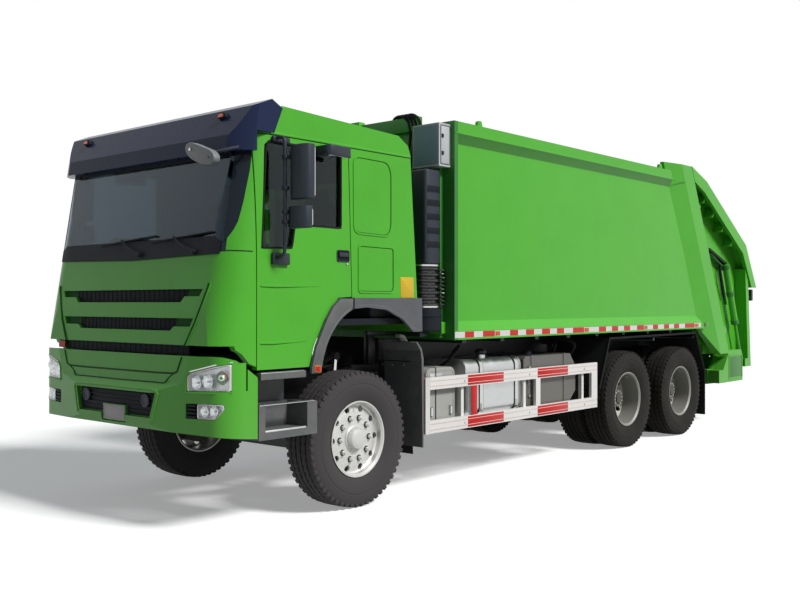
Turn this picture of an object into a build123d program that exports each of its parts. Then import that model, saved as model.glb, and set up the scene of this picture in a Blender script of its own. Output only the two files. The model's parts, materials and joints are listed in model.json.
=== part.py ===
"""Rear-loading garbage truck: a 6x4 tilt-cab chassis with a compactor body.

Frame: +X forward, +Y to the left, +Z up, in millimetres. The origin is on the ground, midway between
the foremost and the rearmost point. Places along the truck are given as stations: distances behind
the front axle. The function at() turns a station into x.
"""

import os
from math import ceil, cos, hypot, pi, sin

from build123d import *

os.makedirs("parts", exist_ok=True)

# --- Whole vehicle -------------------------------------------------------------------------------
FRONT_OVERHANG = 1500
TAIL_OVERHANG = 3725
WHEELBASE = 4325
TANDEM_SPACING = 1350
TAIL_STATION = WHEELBASE + TAIL_OVERHANG
REAR_AXLE = WHEELBASE + TANDEM_SPACING
BODY_HALF_WIDTH = 1245
AXLE_X = (FRONT_OVERHANG + TAIL_STATION) / 2 - FRONT_OVERHANG
SEAM = 8
TOUCH = 0.3

# --- Wheels and axles ----------------------------------------------------------------------------
TYRE_RADIUS = 542
# From bead to tread: (distance from the mid-plane, radius to the flat of a facet).
TYRE_HALF_SECTION = ((108, 288 + TOUCH), (150, 410), (143, 497), (115, TYRE_RADIUS))
TYRE_FACETS = 36
RIM_RADIUS = 288
RIM_FLANGE = 14
RIM_WIDTH = 250
RIM_WALL = 12
DISC_WALL = 14
DISH_RADIUS = 214
FRONT_TRACK = 2022
REAR_TRACK = 1830
TWIN_SPACING = 340
HUB_RADIUS = 118
HUB_BORE = 46
STUD_CIRCLE = 167.5
STUD_COUNT = 10
STUD_RADIUS = 13
HAND_HOLE_CIRCLE = 232
HAND_HOLE_RADIUS = 27
DRUM_RADIUS = 205
KINGPIN_HALF = 875
KINGPIN_RADIUS = 26
AXLE_TUBE = 70
DIFFERENTIAL_RADIUS = 215
PINION_REACH = 280
PINION_HEIGHT = 560
SPRING_PAD = 613

# --- Chassis frame -------------------------------------------------------------------------------
RAIL_FRONT = -1385
RAIL_REAR = REAR_AXLE + 945
RAIL_HALF_OUT = 430
RAIL_FLANGE = 85
RAIL_WEB = 12
RAIL_BOTTOM = 790
RAIL_TOP = 1060
CROSSMEMBER_STATIONS = (
    -1320, 1240, 1800, 2900, WHEELBASE - 625, WHEELBASE + TANDEM_SPACING / 2, RAIL_REAR - 140,
)
CROSSMEMBER_LENGTH = 90
SPRING_HALF = 390
SPRING_WIDTH = 80

# --- Cab -----------------------------------------------------------------------------------------
CAB_HALF = 1205
CAB_WALL = 50
CAB_LIP = 1325
CAB_RAKE = 0.168
CAB_ROOF_LINE = 2835
DOOR_FRONT = -1112
DOOR_REAR = -155
DOOR_BOTTOM = 1150
ARCH_TOP = 1665
FLOOR_LOW = 1200
FLOOR_HIGH = 1450
FLOOR_WALL = 50
TUNNEL_HALF = 450
CAB_PIVOT = (-1390, 880)
CAB_PIVOT_RADIUS = 28
SCREEN_BOTTOM = 1985
SCREEN_TOP = 2715
SCREEN_HALF_LOW = 1085
SCREEN_HALF_TOP = 1075
GLASS = 8
GRILLE_TOP = 1762
GRILLE_HALF_TOP = 985
GRILLE_HALF_LOW = 790
GRILLE_DEPTH = 30
VISOR_BOTTOM = 2700
VISOR_TOP = 3010
VISOR_STAND = 70

# Cab side view, centre line, as (station, height) going round from the lip under the grille.
CAB_SIDE_VIEW = (
    (-1425, CAB_LIP), (-1385, 1700), (-1340, 1976), (-1180, 2790), (-1085, 2965), (-880, 3050),
    (400, 3000), (520, 2930), (550, 2860), (660, 1385), (660, DOOR_BOTTOM), (-1250, DOOR_BOTTOM),
    (-1300, CAB_LIP),
)
# The hollow inside follows the same line but runs on downwards, so that the shell has no bottom.
CAB_HOLLOW_VIEW = ((-1492, 700), *CAB_SIDE_VIEW[1:10], (660, 700))
# Left half of the plan view at the lip's height, before its corner is rounded.
CAB_PLAN_VIEW = ((-1440, CAB_HALF), (900, CAB_HALF))
CAB_CORNER = 240

# --- Bumper --------------------------------------------------------------------------------------
BUMPER_REAR = -1120
BUMPER_HALF = 1222
BUMPER_WALL = 55
BUMPER_CORNER = 190
BUMPER_SIDE_VIEW = (
    (-1445, 1250), (-1455, 1060), (-FRONT_OVERHANG, 975), (-FRONT_OVERHANG, 745), (-1470, 705),
    (BUMPER_REAR, 668), (BUMPER_REAR, 1100), (-1300, 1225), (-1380, 1250),
)
BUMPER_PLAN_VIEW = ((-FRONT_OVERHANG, 480), (-1398, BUMPER_HALF), (BUMPER_REAR, BUMPER_HALF))

# --- Container -----------------------------------------------------------------------------------
BODY_FRONT = 1100
BODY_BOTTOM = 1300
BODY_TOP = 3223
SIDE_DEPTH = 120
BODY_INNER_HALF = BODY_HALF_WIDTH - SIDE_DEPTH
PANEL_SINK = 73
PANEL_HALF = BODY_HALF_WIDTH - PANEL_SINK
PANEL_BOW = 12
TOP_RAIL = 104
TOP_SLOPE = 77
BOTTOM_RAIL = 73
BOTTOM_SLOPE = 90
ROOF_DEPTH = 73
ROOF_CROWN = 25
FLOOR_THICK = 60
BEARER_PITCH = 600
BULKHEAD = 50
LEAN = 0.49
POST_FOOT = REAR_AXLE + 965
POST_TOP_HEIGHT = BODY_TOP + 77
POST_WIDTH = 280
POST_BAND = 350
POST_INNER_HALF = BODY_HALF_WIDTH - 185
PORTAL_BOTTOM = 950
TAIL_GAP = 12
TAIL_HINGE = (POST_FOOT - (POST_TOP_HEIGHT - BODY_BOTTOM) * LEAN + POST_WIDTH / 2, POST_TOP_HEIGHT)
TAIL_PIN = 30
TAIL_EAR = 50
EJECTOR_STATION = 1330
EJECTOR_THICK = 80

# --- Tailgate ------------------------------------------------------------------------------------
SIDE_OUT = BODY_HALF_WIDTH - 175
SIDE_IN = SIDE_OUT - 50
COVER_WALL = 60
COVER_LIP = 150
HOPPER_WALL = 30
SLIDE_DROP = (0.376, -0.927)
SLIDE_TRAVEL = 500
PACKER_PIVOT = (POST_FOOT + 480, 1597)
PACKER_LENGTH = 520
PACKER_HALF = SIDE_IN - 35
BARREL_TOP = (POST_FOOT + 530, 2150)
BARREL_LENGTH = 880
BARREL_RADIUS = 45
BARREL_SIDE = BODY_HALF_WIDTH - 85
SLIDE_ROD_RADIUS = 22
SLIDE_ROD_LENGTH = 1456
LIFT_BEHIND_POST = 89.5
LIFT_TOP_HEIGHT = POST_TOP_HEIGHT - 450
LIFT_TOP = (
    POST_FOOT - (LIFT_TOP_HEIGHT - BODY_BOTTOM) * LEAN + POST_WIDTH + LIFT_BEHIND_POST, LIFT_TOP_HEIGHT,
)
LIFT_FOOT = (POST_FOOT + 420, 1250)
LIFT_SIDE = BODY_HALF_WIDTH - 85
LIFT_BARREL = 38
LIFT_ROD = 20


# --- Helpers -------------------------------------------------------------------------------------
def at(station):
    """The x of a station."""
    return AXLE_X - station


def side_plane(y):
    """A plane facing -Y whose local x and y are the truck's x and height."""
    return Plane(origin=(0, y, 0), x_dir=(1, 0, 0), z_dir=(0, -1, 0))


def front_plane(station):
    """A plane facing -X whose local x is the truck's -Y and local y its height."""
    return Plane(origin=(at(station), 0, 0), x_dir=(0, -1, 0), z_dir=(-1, 0, 0))


def side_slab(outline, low_y, high_y, mode=Mode.ADD, grow=0):
    """Extrude a side view of (station, height) points between two values of y."""
    with BuildSketch(side_plane(high_y)) as face:
        with BuildLine():
            Polyline(*[(at(s), z) for s, z in outline], close=True)
        make_face()
        if grow:
            offset(amount=grow, kind=Kind.INTERSECTION)
    extrude(face.sketch, amount=high_y - low_y, mode=mode)


def both_sides(outline, low_y, high_y, mode=Mode.ADD):
    """The same side view on the left and on the right."""
    side_slab(outline, low_y, high_y, mode)
    side_slab(outline, -high_y, -low_y, mode)


def block(front, rear, low_y, high_y, bottom, top, mode=Mode.ADD):
    """A box between two stations, two values of y and two heights."""
    with Locations((at((front + rear) / 2), (low_y + high_y) / 2, (bottom + top) / 2)):
        Box(abs(rear - front), abs(high_y - low_y), abs(top - bottom), mode=mode)


def twin_blocks(front, rear, low_y, high_y, bottom, top, mode=Mode.ADD):
    """The same box on the left and on the right."""
    block(front, rear, low_y, high_y, bottom, top, mode)
    block(front, rear, -high_y, -low_y, bottom, top, mode)


def front_prism(outline, front, rear, mode=Mode.ADD):
    """Extrude a front view of (y, height) points from a station rearwards to another."""
    with BuildSketch(front_plane(front)) as face:
        with BuildLine():
            Polyline(*[(-y, z) for y, z in outline], close=True)
        make_face()
    extrude(face.sketch, amount=rear - front, mode=mode)


def cross_bar(station, height, radius, low_y, high_y, mode=Mode.ADD):
    """A round bar along Y."""
    with BuildSketch(side_plane(high_y)) as face:
        with Locations((at(station), height)):
            Circle(radius)
    extrude(face.sketch, amount=high_y - low_y, mode=mode)


def side_bar(start, end, y, radius, mode=Mode.ADD):
    """A round bar in a plane of constant y, between two (station, height) points."""
    x0, z0, x1, z1 = at(start[0]), start[1], at(end[0]), end[1]
    length = hypot(x1 - x0, z1 - z0)
    with BuildSketch(Plane(origin=(x0, y, z0), z_dir=(x1 - x0, 0, z1 - z0))) as face:
        Circle(radius)
    extrude(face.sketch, amount=length, mode=mode)


def mirrored(outline):
    """A front view with the y of each point turned over."""
    return [(-y, z) for y, z in outline]


def along(start, direction, distance):
    """A (station, height) point at a distance from another."""
    return (start[0] + direction[0] * distance, start[1] + direction[1] * distance)


def finish(piece, label):
    """Name a finished piece and write its file."""
    piece.part.label = label
    export_step(piece.part, f"parts/{label}.step")


def post_front(height):
    """Station of the front edge of the leaning rear posts."""
    return POST_FOOT - (height - BODY_BOTTOM) * LEAN


def mating(height):
    """Station of the plane where the container ends and the tailgate begins."""
    return post_front(height) + POST_WIDTH


def gate(*outline):
    """A side view whose places along the truck are distances behind the foot of the posts."""
    return [(POST_FOOT + distance, height) for distance, height in outline]


def plan_face(height, outline, radius, shift=0, grow=0):
    """Sketch a plan view given by its left half, with its widest front corners rounded."""
    left = [(at(station - shift), y) for station, y in outline]
    with BuildSketch(Plane.XY.offset(height)) as plan:
        with BuildLine():
            Polyline(*left, *[(x, -y) for x, y in reversed(left)], close=True)
        make_face()
        sides = plan.vertices().group_by(Axis.Y)
        fillet([sides[end].sort_by(Axis.X)[-1] for end in (0, -1)], radius=radius)
        if grow:
            offset(amount=grow, kind=Kind.INTERSECTION)
    return plan.sketch


# --- Chassis frame -------------------------------------------------------------------------------
with BuildPart() as frame_rails:
    for side in (-1, 1):
        outer, inner = side * RAIL_HALF_OUT, side * (RAIL_HALF_OUT - RAIL_FLANGE)
        low, high = sorted((outer, inner))
        block(RAIL_FRONT, RAIL_REAR, low, high, RAIL_BOTTOM, RAIL_TOP)
        web_out, web_in = side * (RAIL_HALF_OUT - RAIL_WEB), side * (RAIL_HALF_OUT - RAIL_FLANGE)
        web_low, web_high = sorted((web_out, web_in))
        block(
            RAIL_FRONT, RAIL_REAR, web_low, web_high, RAIL_BOTTOM + RAIL_WEB, RAIL_TOP - RAIL_WEB,
            Mode.SUBTRACT,
        )
    for station in CROSSMEMBER_STATIONS:
        block(
            station - CROSSMEMBER_LENGTH / 2, station + CROSSMEMBER_LENGTH / 2,
            -(RAIL_HALF_OUT - RAIL_WEB), RAIL_HALF_OUT - RAIL_WEB, RAIL_BOTTOM + 45, RAIL_TOP - 45,
        )
    twin_blocks(RAIL_FRONT - 60, RAIL_FRONT + 60, 345, RAIL_HALF_OUT, CAB_PIVOT[1] - 75, CAB_PIVOT[1] + 75)
    cross_bar(*CAB_PIVOT, CAB_PIVOT_RADIUS, -RAIL_HALF_OUT - 90, RAIL_HALF_OUT + 90)
finish(frame_rails, "frame_rails")

with BuildPart() as axles:
    # Front beam: dropped in the middle, with a boss for each kingpin.
    beam = [
        (-KINGPIN_HALF + 60, TYRE_RADIUS - 60), (-620, 400), (620, 400),
        (KINGPIN_HALF - 60, TYRE_RADIUS - 60),
    ]
    front_prism(
        beam + [
            (KINGPIN_HALF - 60, TYRE_RADIUS + 60), (600, 520), (-600, 520),
            (-KINGPIN_HALF + 60, TYRE_RADIUS + 60),
        ],
        -50, 50,
    )
    for side in (-1, 1):
        with Locations((at(0), side * KINGPIN_HALF, TYRE_RADIUS)):
            Cylinder(KINGPIN_RADIUS, 250)
            Cylinder(62, 120)
    # Rear casings: a tube, a round middle and a spindle at each end.
    for station in (WHEELBASE, REAR_AXLE):
        cross_bar(station, TYRE_RADIUS, AXLE_TUBE, -620, 620)
        cross_bar(station, TYRE_RADIUS, HUB_BORE - TOUCH, -1060, 1060)
        cross_bar(station, TYRE_RADIUS, DIFFERENTIAL_RADIUS, -130, 130)
        block(
            station - PINION_REACH, station + PINION_REACH, -55, 55, PINION_HEIGHT - 50,
            PINION_HEIGHT + 50,
        )
        twin_blocks(station - 60, station + 60, SPRING_HALF - 45, SPRING_HALF + 55, TYRE_RADIUS, SPRING_PAD)
finish(axles, "axles")

with BuildPart() as suspension:
    # Front leaf springs, from hanger to shackle, resting on the beam.
    for side in (-1, 1):
        middle = side * SPRING_HALF
        low, high = middle - SPRING_WIDTH / 2, middle + SPRING_WIDTH / 2
        side_slab(
            [(-820, RAIL_BOTTOM), (-820, 640), (0, 520), (780, 640), (780, RAIL_BOTTOM), (720, RAIL_BOTTOM),
             (700, 700), (300, 620), (-300, 620), (-740, 700), (-760, RAIL_BOTTOM)],
            low, high,
        )
    # Rear bogie springs: one inverted pack a side over both axles, with its trunnion under the rail.
    middle = WHEELBASE + TANDEM_SPACING / 2
    for side in (-1, 1):
        low, high = sorted((side * (SPRING_HALF - 45), side * (SPRING_HALF + 55)))
        side_slab(
            [(WHEELBASE - 130, SPRING_PAD), (WHEELBASE + 130, SPRING_PAD), (middle, 700),
             (
                 REAR_AXLE - 130, SPRING_PAD,
             ), (REAR_AXLE + 130, SPRING_PAD), (REAR_AXLE + 130, 660), (middle + 60, RAIL_BOTTOM),
             (middle - 60, RAIL_BOTTOM), (WHEELBASE - 130, 660)],
            low, high,
        )
finish(suspension, "suspension")

with BuildPart() as powertrain:
    block(-760, 260, -330, 330, 740, 1380)
    block(260, 1180, -190, 190, 660, 1030)
    block(-1190, -1120, -330, 330, 830, 1400)
    block(-1120, -760, -60, 60, 900, 1010)
    # Engine, gearbox and radiator mounts reach the webs of the rails.
    for front, rear, inner in ((-300, -220, 300), (880, 960, 150), (-1185, -1125, 300)):
        twin_blocks(front, rear, inner, RAIL_HALF_OUT - RAIL_WEB, 860, 910)
    # Propeller shafts, with a joint at each end that meets an axle.
    first, second = WHEELBASE - PINION_REACH, REAR_AXLE - PINION_REACH
    side_bar((1180, 760), (first - 20, PINION_HEIGHT), 0, 45)
    side_bar((WHEELBASE + PINION_REACH + 20, PINION_HEIGHT), (second - 20, PINION_HEIGHT), 0, 45)
    for end, way in ((first, -1), (second, -1), (WHEELBASE + PINION_REACH, 1)):
        block(end, end + way * 45, -50, 50, PINION_HEIGHT - 48, PINION_HEIGHT + 48)
finish(powertrain, "powertrain")

# --- Bumper and lamps ----------------------------------------------------------------------------
HEADLAMP_VIEW = ((850, 1003), (1225, 1013), (1225, 1209), (1100, 1186), (885, 1136), (853, 1106))
FOG_VIEW = ((838, 812), (1115, 818), (1170, 905), (1152, 928), (838, 918))
INTAKE_VIEW = ((-530, 975), (530, 975), (470, 790), (-470, 790))
PLATE_HALF = 150


def bumper_envelope():
    """The bumper's outer form."""
    with BuildPart() as form:
        side_slab(BUMPER_SIDE_VIEW, -1300, 1300)
        extrude(plan_face(0, BUMPER_PLAN_VIEW, BUMPER_CORNER), amount=2000, mode=Mode.INTERSECT)
    return form.part


def cut_bumper_hollow():
    """Cut away what lies inside the bumper's wall; the hollow is open to the rear."""
    outline = (*BUMPER_PLAN_VIEW[:-1], (BUMPER_REAR + 400, BUMPER_HALF))
    hollow = plan_face(600, outline, BUMPER_CORNER, grow=-BUMPER_WALL)
    extrude(hollow, amount=800, mode=Mode.SUBTRACT)


bumper_form = bumper_envelope()

with BuildPart() as bumper:
    add(bumper_form)
    cut_bumper_hollow()
    for view in (HEADLAMP_VIEW, FOG_VIEW):
        front_prism(view, -1550, -1210, Mode.SUBTRACT)
        front_prism(mirrored(view), -1550, -1210, Mode.SUBTRACT)
    front_prism(INTAKE_VIEW, -1550, -FRONT_OVERHANG + 35, Mode.SUBTRACT)
    block(-1550, -FRONT_OVERHANG + 35, -PLATE_HALF - 10, PLATE_HALF + 10, 730, 800, Mode.SUBTRACT)
    block(-FRONT_OVERHANG + 10, -FRONT_OVERHANG + 35, -PLATE_HALF, PLATE_HALF, 740, 860)
    twin_blocks(-FRONT_OVERHANG + BUMPER_WALL - 15, RAIL_FRONT - 60, 345, RAIL_HALF_OUT, 800, 960)
finish(bumper, "bumper")

with BuildPart() as headlamps:
    for view in (HEADLAMP_VIEW, FOG_VIEW):
        for shape in (view, mirrored(view)):
            with BuildPart(mode=Mode.PRIVATE) as lamp:
                front_prism(shape, -1550, -1210)
            add(lamp.part)
    add(bumper_form, mode=Mode.INTERSECT)
    cut_bumper_hollow()
finish(headlamps, "headlamps")

# --- Steps, mudguards, tanks and guards ----------------------------------------------------------
STEP_SIDE = 1205
STEP_FRONT = -1075
STEP_REAR = -640
STEP_TOP = 1122
STEP_BOX = (-1095, -525, 648, 893)
# Plan of the foot box; its rear edge is cut back for the steered tyre.
STEP_PLAN = ((-1095, 900), (-1095, 1205), (-525, 1205), (-560, 1120), (-600, 1000), (-620, 900))
FRONT_GUARD_IN = 780
FRONT_GUARD_STATION = 700

with BuildPart() as cab_steps:
    # Lower foot box, upper tread and the panel between them; behind the wheel, the mudguard plate.
    for side in (-1, 1):
        with BuildSketch(Plane.XY.offset(STEP_BOX[2])) as plan:
            with BuildLine():
                Polyline(*[(at(s), side * y) for s, y in STEP_PLAN], close=True)
            make_face()
        extrude(plan.sketch, amount=STEP_BOX[3] - STEP_BOX[2])
    twin_blocks(
        STEP_BOX[0] + 60, STEP_BOX[1] - 100, 985, STEP_SIDE, STEP_BOX[2] + 60, STEP_BOX[3], Mode.SUBTRACT,
    )
    twin_blocks(STEP_BOX[0] + 5, STEP_REAR, 900, 960, STEP_BOX[3], STEP_TOP)
    twin_blocks(STEP_FRONT, STEP_REAR, 960, STEP_SIDE, STEP_TOP - 45, STEP_TOP)
    twin_blocks(STEP_BOX[0] + 60, STEP_BOX[0] + 120, RAIL_HALF_OUT, 900, 860, 920)
    both_sides(
        [
            (640, 1300), (700, 1240), (725, 1150), (725, 400), (712, 400), (700, 1140), (685, 1220),
            (630, 1290),
        ],
        FRONT_GUARD_IN, STEP_SIDE,
    )
    twin_blocks(712, 760, RAIL_HALF_OUT, FRONT_GUARD_IN + 60, 960, 1010)
finish(cab_steps, "cab_steps")

FUEL_TANK = (1390, 2270, 640, 1140, 590, 1105)
with BuildPart() as fuel_tank:
    front, rear, low_y, high_y, bottom, top = FUEL_TANK
    block(*FUEL_TANK)
    fillet(fuel_tank.edges().filter_by(Axis.X), radius=85)
    block(front + 90, rear - 90, RAIL_HALF_OUT, low_y + 20, 820, 880)
    with Locations((at((front + rear) / 2), high_y - 150, top)):
        Cylinder(42, 60)
finish(fuel_tank, "fuel_tank")

HYDRAULIC_TANK = (2330, 3300, 600, 1140, 600, 1100)
with BuildPart() as hydraulic_tank:
    front, rear, low_y, high_y, bottom, top = HYDRAULIC_TANK
    side_slab(
        [(front, bottom + 70), (front, top - 30), (front + 30, top), (rear - 110, top), (rear, top - 130),
         (rear, bottom + 110), (rear - 120, bottom), (front + 70, bottom)],
        low_y, high_y,
    )
    block(front + 150, rear - 150, RAIL_HALF_OUT, low_y, 830, 900)
finish(hydraulic_tank, "hydraulic_tank")

BATTERY_BOX = (835, 1235, 640, 1140, 575, 1060)
with BuildPart() as battery_box:
    block(*BATTERY_BOX)
    fillet(battery_box.edges().filter_by(Axis.Y).group_by(Axis.Z)[-1], radius=70)
    block(950, 1120, RAIL_HALF_OUT, BATTERY_BOX[2], 820, 880)
finish(battery_box, "battery_box")

with BuildPart() as silencer:
    # Exhaust silencer and two air tanks on the right side.
    with Locations((at(1050), -860, 840)):
        Cylinder(235, 440, rotation=(0, 90, 0))
    block(960, 1140, -640, -RAIL_HALF_OUT, 810, 880)
    for height in (700, 960):
        with Locations((at(1800), -820, height)):
            Cylinder(115, 860, rotation=(0, 90, 0))
    block(1770, 1830, -720, -RAIL_HALF_OUT, 800, 860)
    block(1770, 1830, -760, -700, 700, 960)
finish(silencer, "silencer")

GUARD = (752, WHEELBASE - 669)
GUARD_RAILS = ((505, 615), (880, 985))
GUARD_THICK = 30
GUARD_SIDE = 1200
GUARD_POSTS = (1450, 2500)
GUARD_ARMS = (1310, 2305, GUARD[1] - 256)
with BuildPart() as side_guards:
    for bottom, top in GUARD_RAILS:
        twin_blocks(*GUARD, GUARD_SIDE - GUARD_THICK, GUARD_SIDE, bottom, top)
    for station in GUARD_POSTS:
        twin_blocks(
            station - 40, station + 40, GUARD_SIDE - GUARD_THICK, GUARD_SIDE, GUARD_RAILS[0][1],
            GUARD_RAILS[1][0],
        )
    twin_blocks(GUARD[0], GUARD[0] + 60, 1060, GUARD_SIDE, GUARD_RAILS[0][0], GUARD_RAILS[1][1])
    twin_blocks(
        GUARD[1] - 120, GUARD[1], GUARD_SIDE - GUARD_THICK, GUARD_SIDE, GUARD_RAILS[0][0],
        GUARD_RAILS[1][1],
    )
    for station in GUARD_ARMS:
        twin_blocks(station - 20, station + 20, RAIL_HALF_OUT, GUARD_SIDE - GUARD_THICK, 925, 965)
        twin_blocks(
            station - 20, station + 20, GUARD_SIDE - GUARD_THICK - 40, GUARD_SIDE - GUARD_THICK, 520, 925,
        )
finish(side_guards, "side_guards")

MUDGUARD_IN = 560
MUDGUARD_OUT = 1215
with BuildPart() as rear_mudguards:
    both_sides(
        [(WHEELBASE - 645, 700), (WHEELBASE - 420, 1240), (REAR_AXLE + 435, 1250), (REAR_AXLE + 705, 760),
         (REAR_AXLE + 705, 190), (REAR_AXLE + 691, 190), (REAR_AXLE + 691, 755), (REAR_AXLE + 425, 1234),
         (WHEELBASE - 407, 1224), (WHEELBASE - 629, 695)],
        MUDGUARD_IN, MUDGUARD_OUT,
    )
    for station, bottom in ((WHEELBASE - 400, 1150), (WHEELBASE + TANDEM_SPACING / 2, 1130)):
        twin_blocks(station - 20, station + 20, RAIL_HALF_OUT, MUDGUARD_IN + 40, bottom, 1224)
        twin_blocks(station - 20, station + 20, RAIL_HALF_OUT, RAIL_HALF_OUT + 30, 1000, bottom)
finish(rear_mudguards, "rear_mudguards")

# --- Container -----------------------------------------------------------------------------------
SILL_FRONT = POST_FOOT - 300
with BuildPart() as container_floor:
    # Floor plate on two long members that stand on the chassis rails, with bearers across.
    block(
        BODY_FRONT + BULKHEAD, POST_FOOT - POST_BAND - 60, -BODY_INNER_HALF, BODY_INNER_HALF, BODY_BOTTOM,
        BODY_BOTTOM + FLOOR_THICK,
    )
    twin_blocks(
        BODY_FRONT, SILL_FRONT - 10, RAIL_HALF_OUT - RAIL_FLANGE, RAIL_HALF_OUT, RAIL_TOP, BODY_BOTTOM,
    )
    first, last = BODY_FRONT + 300, POST_FOOT - POST_BAND - 90
    for i in range(ceil((last - first) / BEARER_PITCH)):
        station = first + i * BEARER_PITCH
        twin_blocks(station, station + 60, RAIL_HALF_OUT, 1100, BODY_BOTTOM - 40, BODY_BOTTOM)
finish(container_floor, "container_floor")

with BuildPart() as container_sides:
    for side in (1, -1):
        with BuildSketch(front_plane(BODY_FRONT + BULKHEAD)) as section:
            with BuildLine():
                half, panel, inner = -side * BODY_HALF_WIDTH, -side * PANEL_HALF, -side * BODY_INNER_HALF
                high, low = BODY_TOP - TOP_RAIL - TOP_SLOPE, BODY_BOTTOM + BOTTOM_RAIL + BOTTOM_SLOPE
                Polyline((inner, BODY_TOP), (half, BODY_TOP), (half, high + TOP_SLOPE), (panel, high))
                ThreePointArc(
                    (panel, high), (-side * (PANEL_HALF + PANEL_BOW), (high + low) / 2), (panel, low),
                )
                Polyline(
                    (panel, low), (half, low - BOTTOM_SLOPE), (half, BODY_BOTTOM), (inner, BODY_BOTTOM),
                    (inner, BODY_TOP),
                )
            make_face()
        extrude(section.sketch, amount=POST_FOOT - BODY_FRONT)
    # The rear end leans with the posts.
    above, below = BODY_TOP + 200, BODY_BOTTOM - 200
    side_slab(
        [(post_front(above) - POST_BAND, above), (POST_FOOT + 1000, above), (POST_FOOT + 1000, below),
         (post_front(below) - POST_BAND, below)],
        -1400, 1400, Mode.SUBTRACT,
    )
finish(container_sides, "container_sides")

ROOF_UNDER = BODY_TOP - ROOF_DEPTH
with BuildPart() as container_roof:
    front_prism(
        [(-BODY_INNER_HALF, ROOF_UNDER), (BODY_INNER_HALF, ROOF_UNDER), (BODY_INNER_HALF, BODY_TOP),
         (0, BODY_TOP + ROOF_CROWN), (-BODY_INNER_HALF, BODY_TOP)],
        BODY_FRONT + BULKHEAD, POST_FOOT,
    )
    above, below = BODY_TOP + 200, ROOF_UNDER - 200
    side_slab(
        [(post_front(above) - POST_BAND, above), (POST_FOOT + 100, above), (POST_FOOT + 100, below),
         (post_front(below) - POST_BAND, below)],
        -1400, 1400, Mode.SUBTRACT,
    )
finish(container_roof, "container_roof")

with BuildPart() as container_bulkhead:
    block(BODY_FRONT, BODY_FRONT + BULKHEAD, -BODY_HALF_WIDTH, BODY_HALF_WIDTH, BODY_BOTTOM, BODY_TOP)
finish(container_bulkhead, "container_bulkhead")

PORTAL_TOP = BODY_TOP
with BuildPart() as container_rear_frame:
    for side in (1, -1):
        # Leaning post with a shallow band in front that meets the side panel.
        with BuildSketch(Plane.XY.offset(PORTAL_BOTTOM)) as section:
            foot = post_front(PORTAL_BOTTOM)
            with BuildLine():
                Polyline(
                    (
                        at(foot - POST_BAND), side * BODY_INNER_HALF,
                    ), (at(foot - POST_BAND), side * PANEL_HALF),
                    (at(foot), side * BODY_HALF_WIDTH), (at(foot + POST_WIDTH), side * BODY_HALF_WIDTH),
                    (at(foot + POST_WIDTH), side * POST_INNER_HALF), (at(foot), side * POST_INNER_HALF),
                    (at(foot), side * BODY_INNER_HALF), close=True,
                )
            make_face()
        rise = POST_TOP_HEIGHT + 30 - PORTAL_BOTTOM
        extrude(section.sketch, amount=rise * hypot(1, LEAN), dir=(LEAN, 0, 1))
    # Below the sides the band is cut away, down to a gusset.
    both_sides(
        [(POST_FOOT - POST_BAND - 20, BODY_BOTTOM), (POST_FOOT - POST_BAND, BODY_BOTTOM),
         (post_front(PORTAL_BOTTOM), PORTAL_BOTTOM), (post_front(PORTAL_BOTTOM), PORTAL_BOTTOM - 50),
         (POST_FOOT - POST_BAND - 20, PORTAL_BOTTOM - 50)],
        POST_INNER_HALF - 60, 1400, Mode.SUBTRACT,
    )
    side_slab(
        [(post_front(ROOF_UNDER) - POST_BAND, ROOF_UNDER), (mating(ROOF_UNDER), ROOF_UNDER),
         (mating(PORTAL_TOP), PORTAL_TOP),
         (post_front(PORTAL_TOP) - POST_BAND, PORTAL_TOP)],
        -BODY_INNER_HALF, BODY_INNER_HALF,
    )
    side_slab(
        [(SILL_FRONT, BODY_BOTTOM - 20), (mating(BODY_BOTTOM - 20), BODY_BOTTOM - 20),
         (mating(PORTAL_BOTTOM), PORTAL_BOTTOM),
         (RAIL_REAR + 40, PORTAL_BOTTOM), (RAIL_REAR + 40, RAIL_TOP + 20), (SILL_FRONT, RAIL_TOP + 20)],
        -POST_INNER_HALF, POST_INNER_HALF,
    )
    # Ears for the tailgate's hinge, and lugs for the lifting cylinders.
    for side in (-1, 1):
        for near in (670, 810):
            low, high = sorted((side * near, side * (near + 20)))
            side_slab(
                [(TAIL_HINGE[0] - 90, PORTAL_TOP - 10), (TAIL_HINGE[0] - 30, TAIL_HINGE[1] + 40),
                 (TAIL_HINGE[0] + 30, TAIL_HINGE[1] + 40), (TAIL_HINGE[0] + 90, PORTAL_TOP - 10)],
                low, high,
            )
        low, high = sorted((side * 650, side * 850))
        cross_bar(*TAIL_HINGE, TAIL_PIN, low, high)
        for near in (LIFT_SIDE - 48, LIFT_SIDE + 24):
            low, high = sorted((side * near, side * (near + 24)))
            side_slab(
                [(mating(1340) - 30, 1340), (LIFT_FOOT[0] + 20, LIFT_FOOT[1] + 45),
                 (LIFT_FOOT[0] + 45, LIFT_FOOT[1]),
                 (LIFT_FOOT[0] + 20, LIFT_FOOT[1] - 45), (mating(1160) - 30, 1160)],
                low, high,
            )
        low, high = sorted((side * (LIFT_SIDE - 48), side * (LIFT_SIDE + 48)))
        cross_bar(*LIFT_FOOT, LIFT_ROD, low, high)
finish(container_rear_frame, "container_rear_frame")

CONTROL_BOX_BOTTOM = BODY_TOP - 408
with BuildPart() as control_box:
    block(BODY_FRONT - 160, BODY_FRONT, 900, 1200, CONTROL_BOX_BOTTOM, BODY_TOP - 33)
finish(control_box, "control_box")

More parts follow.
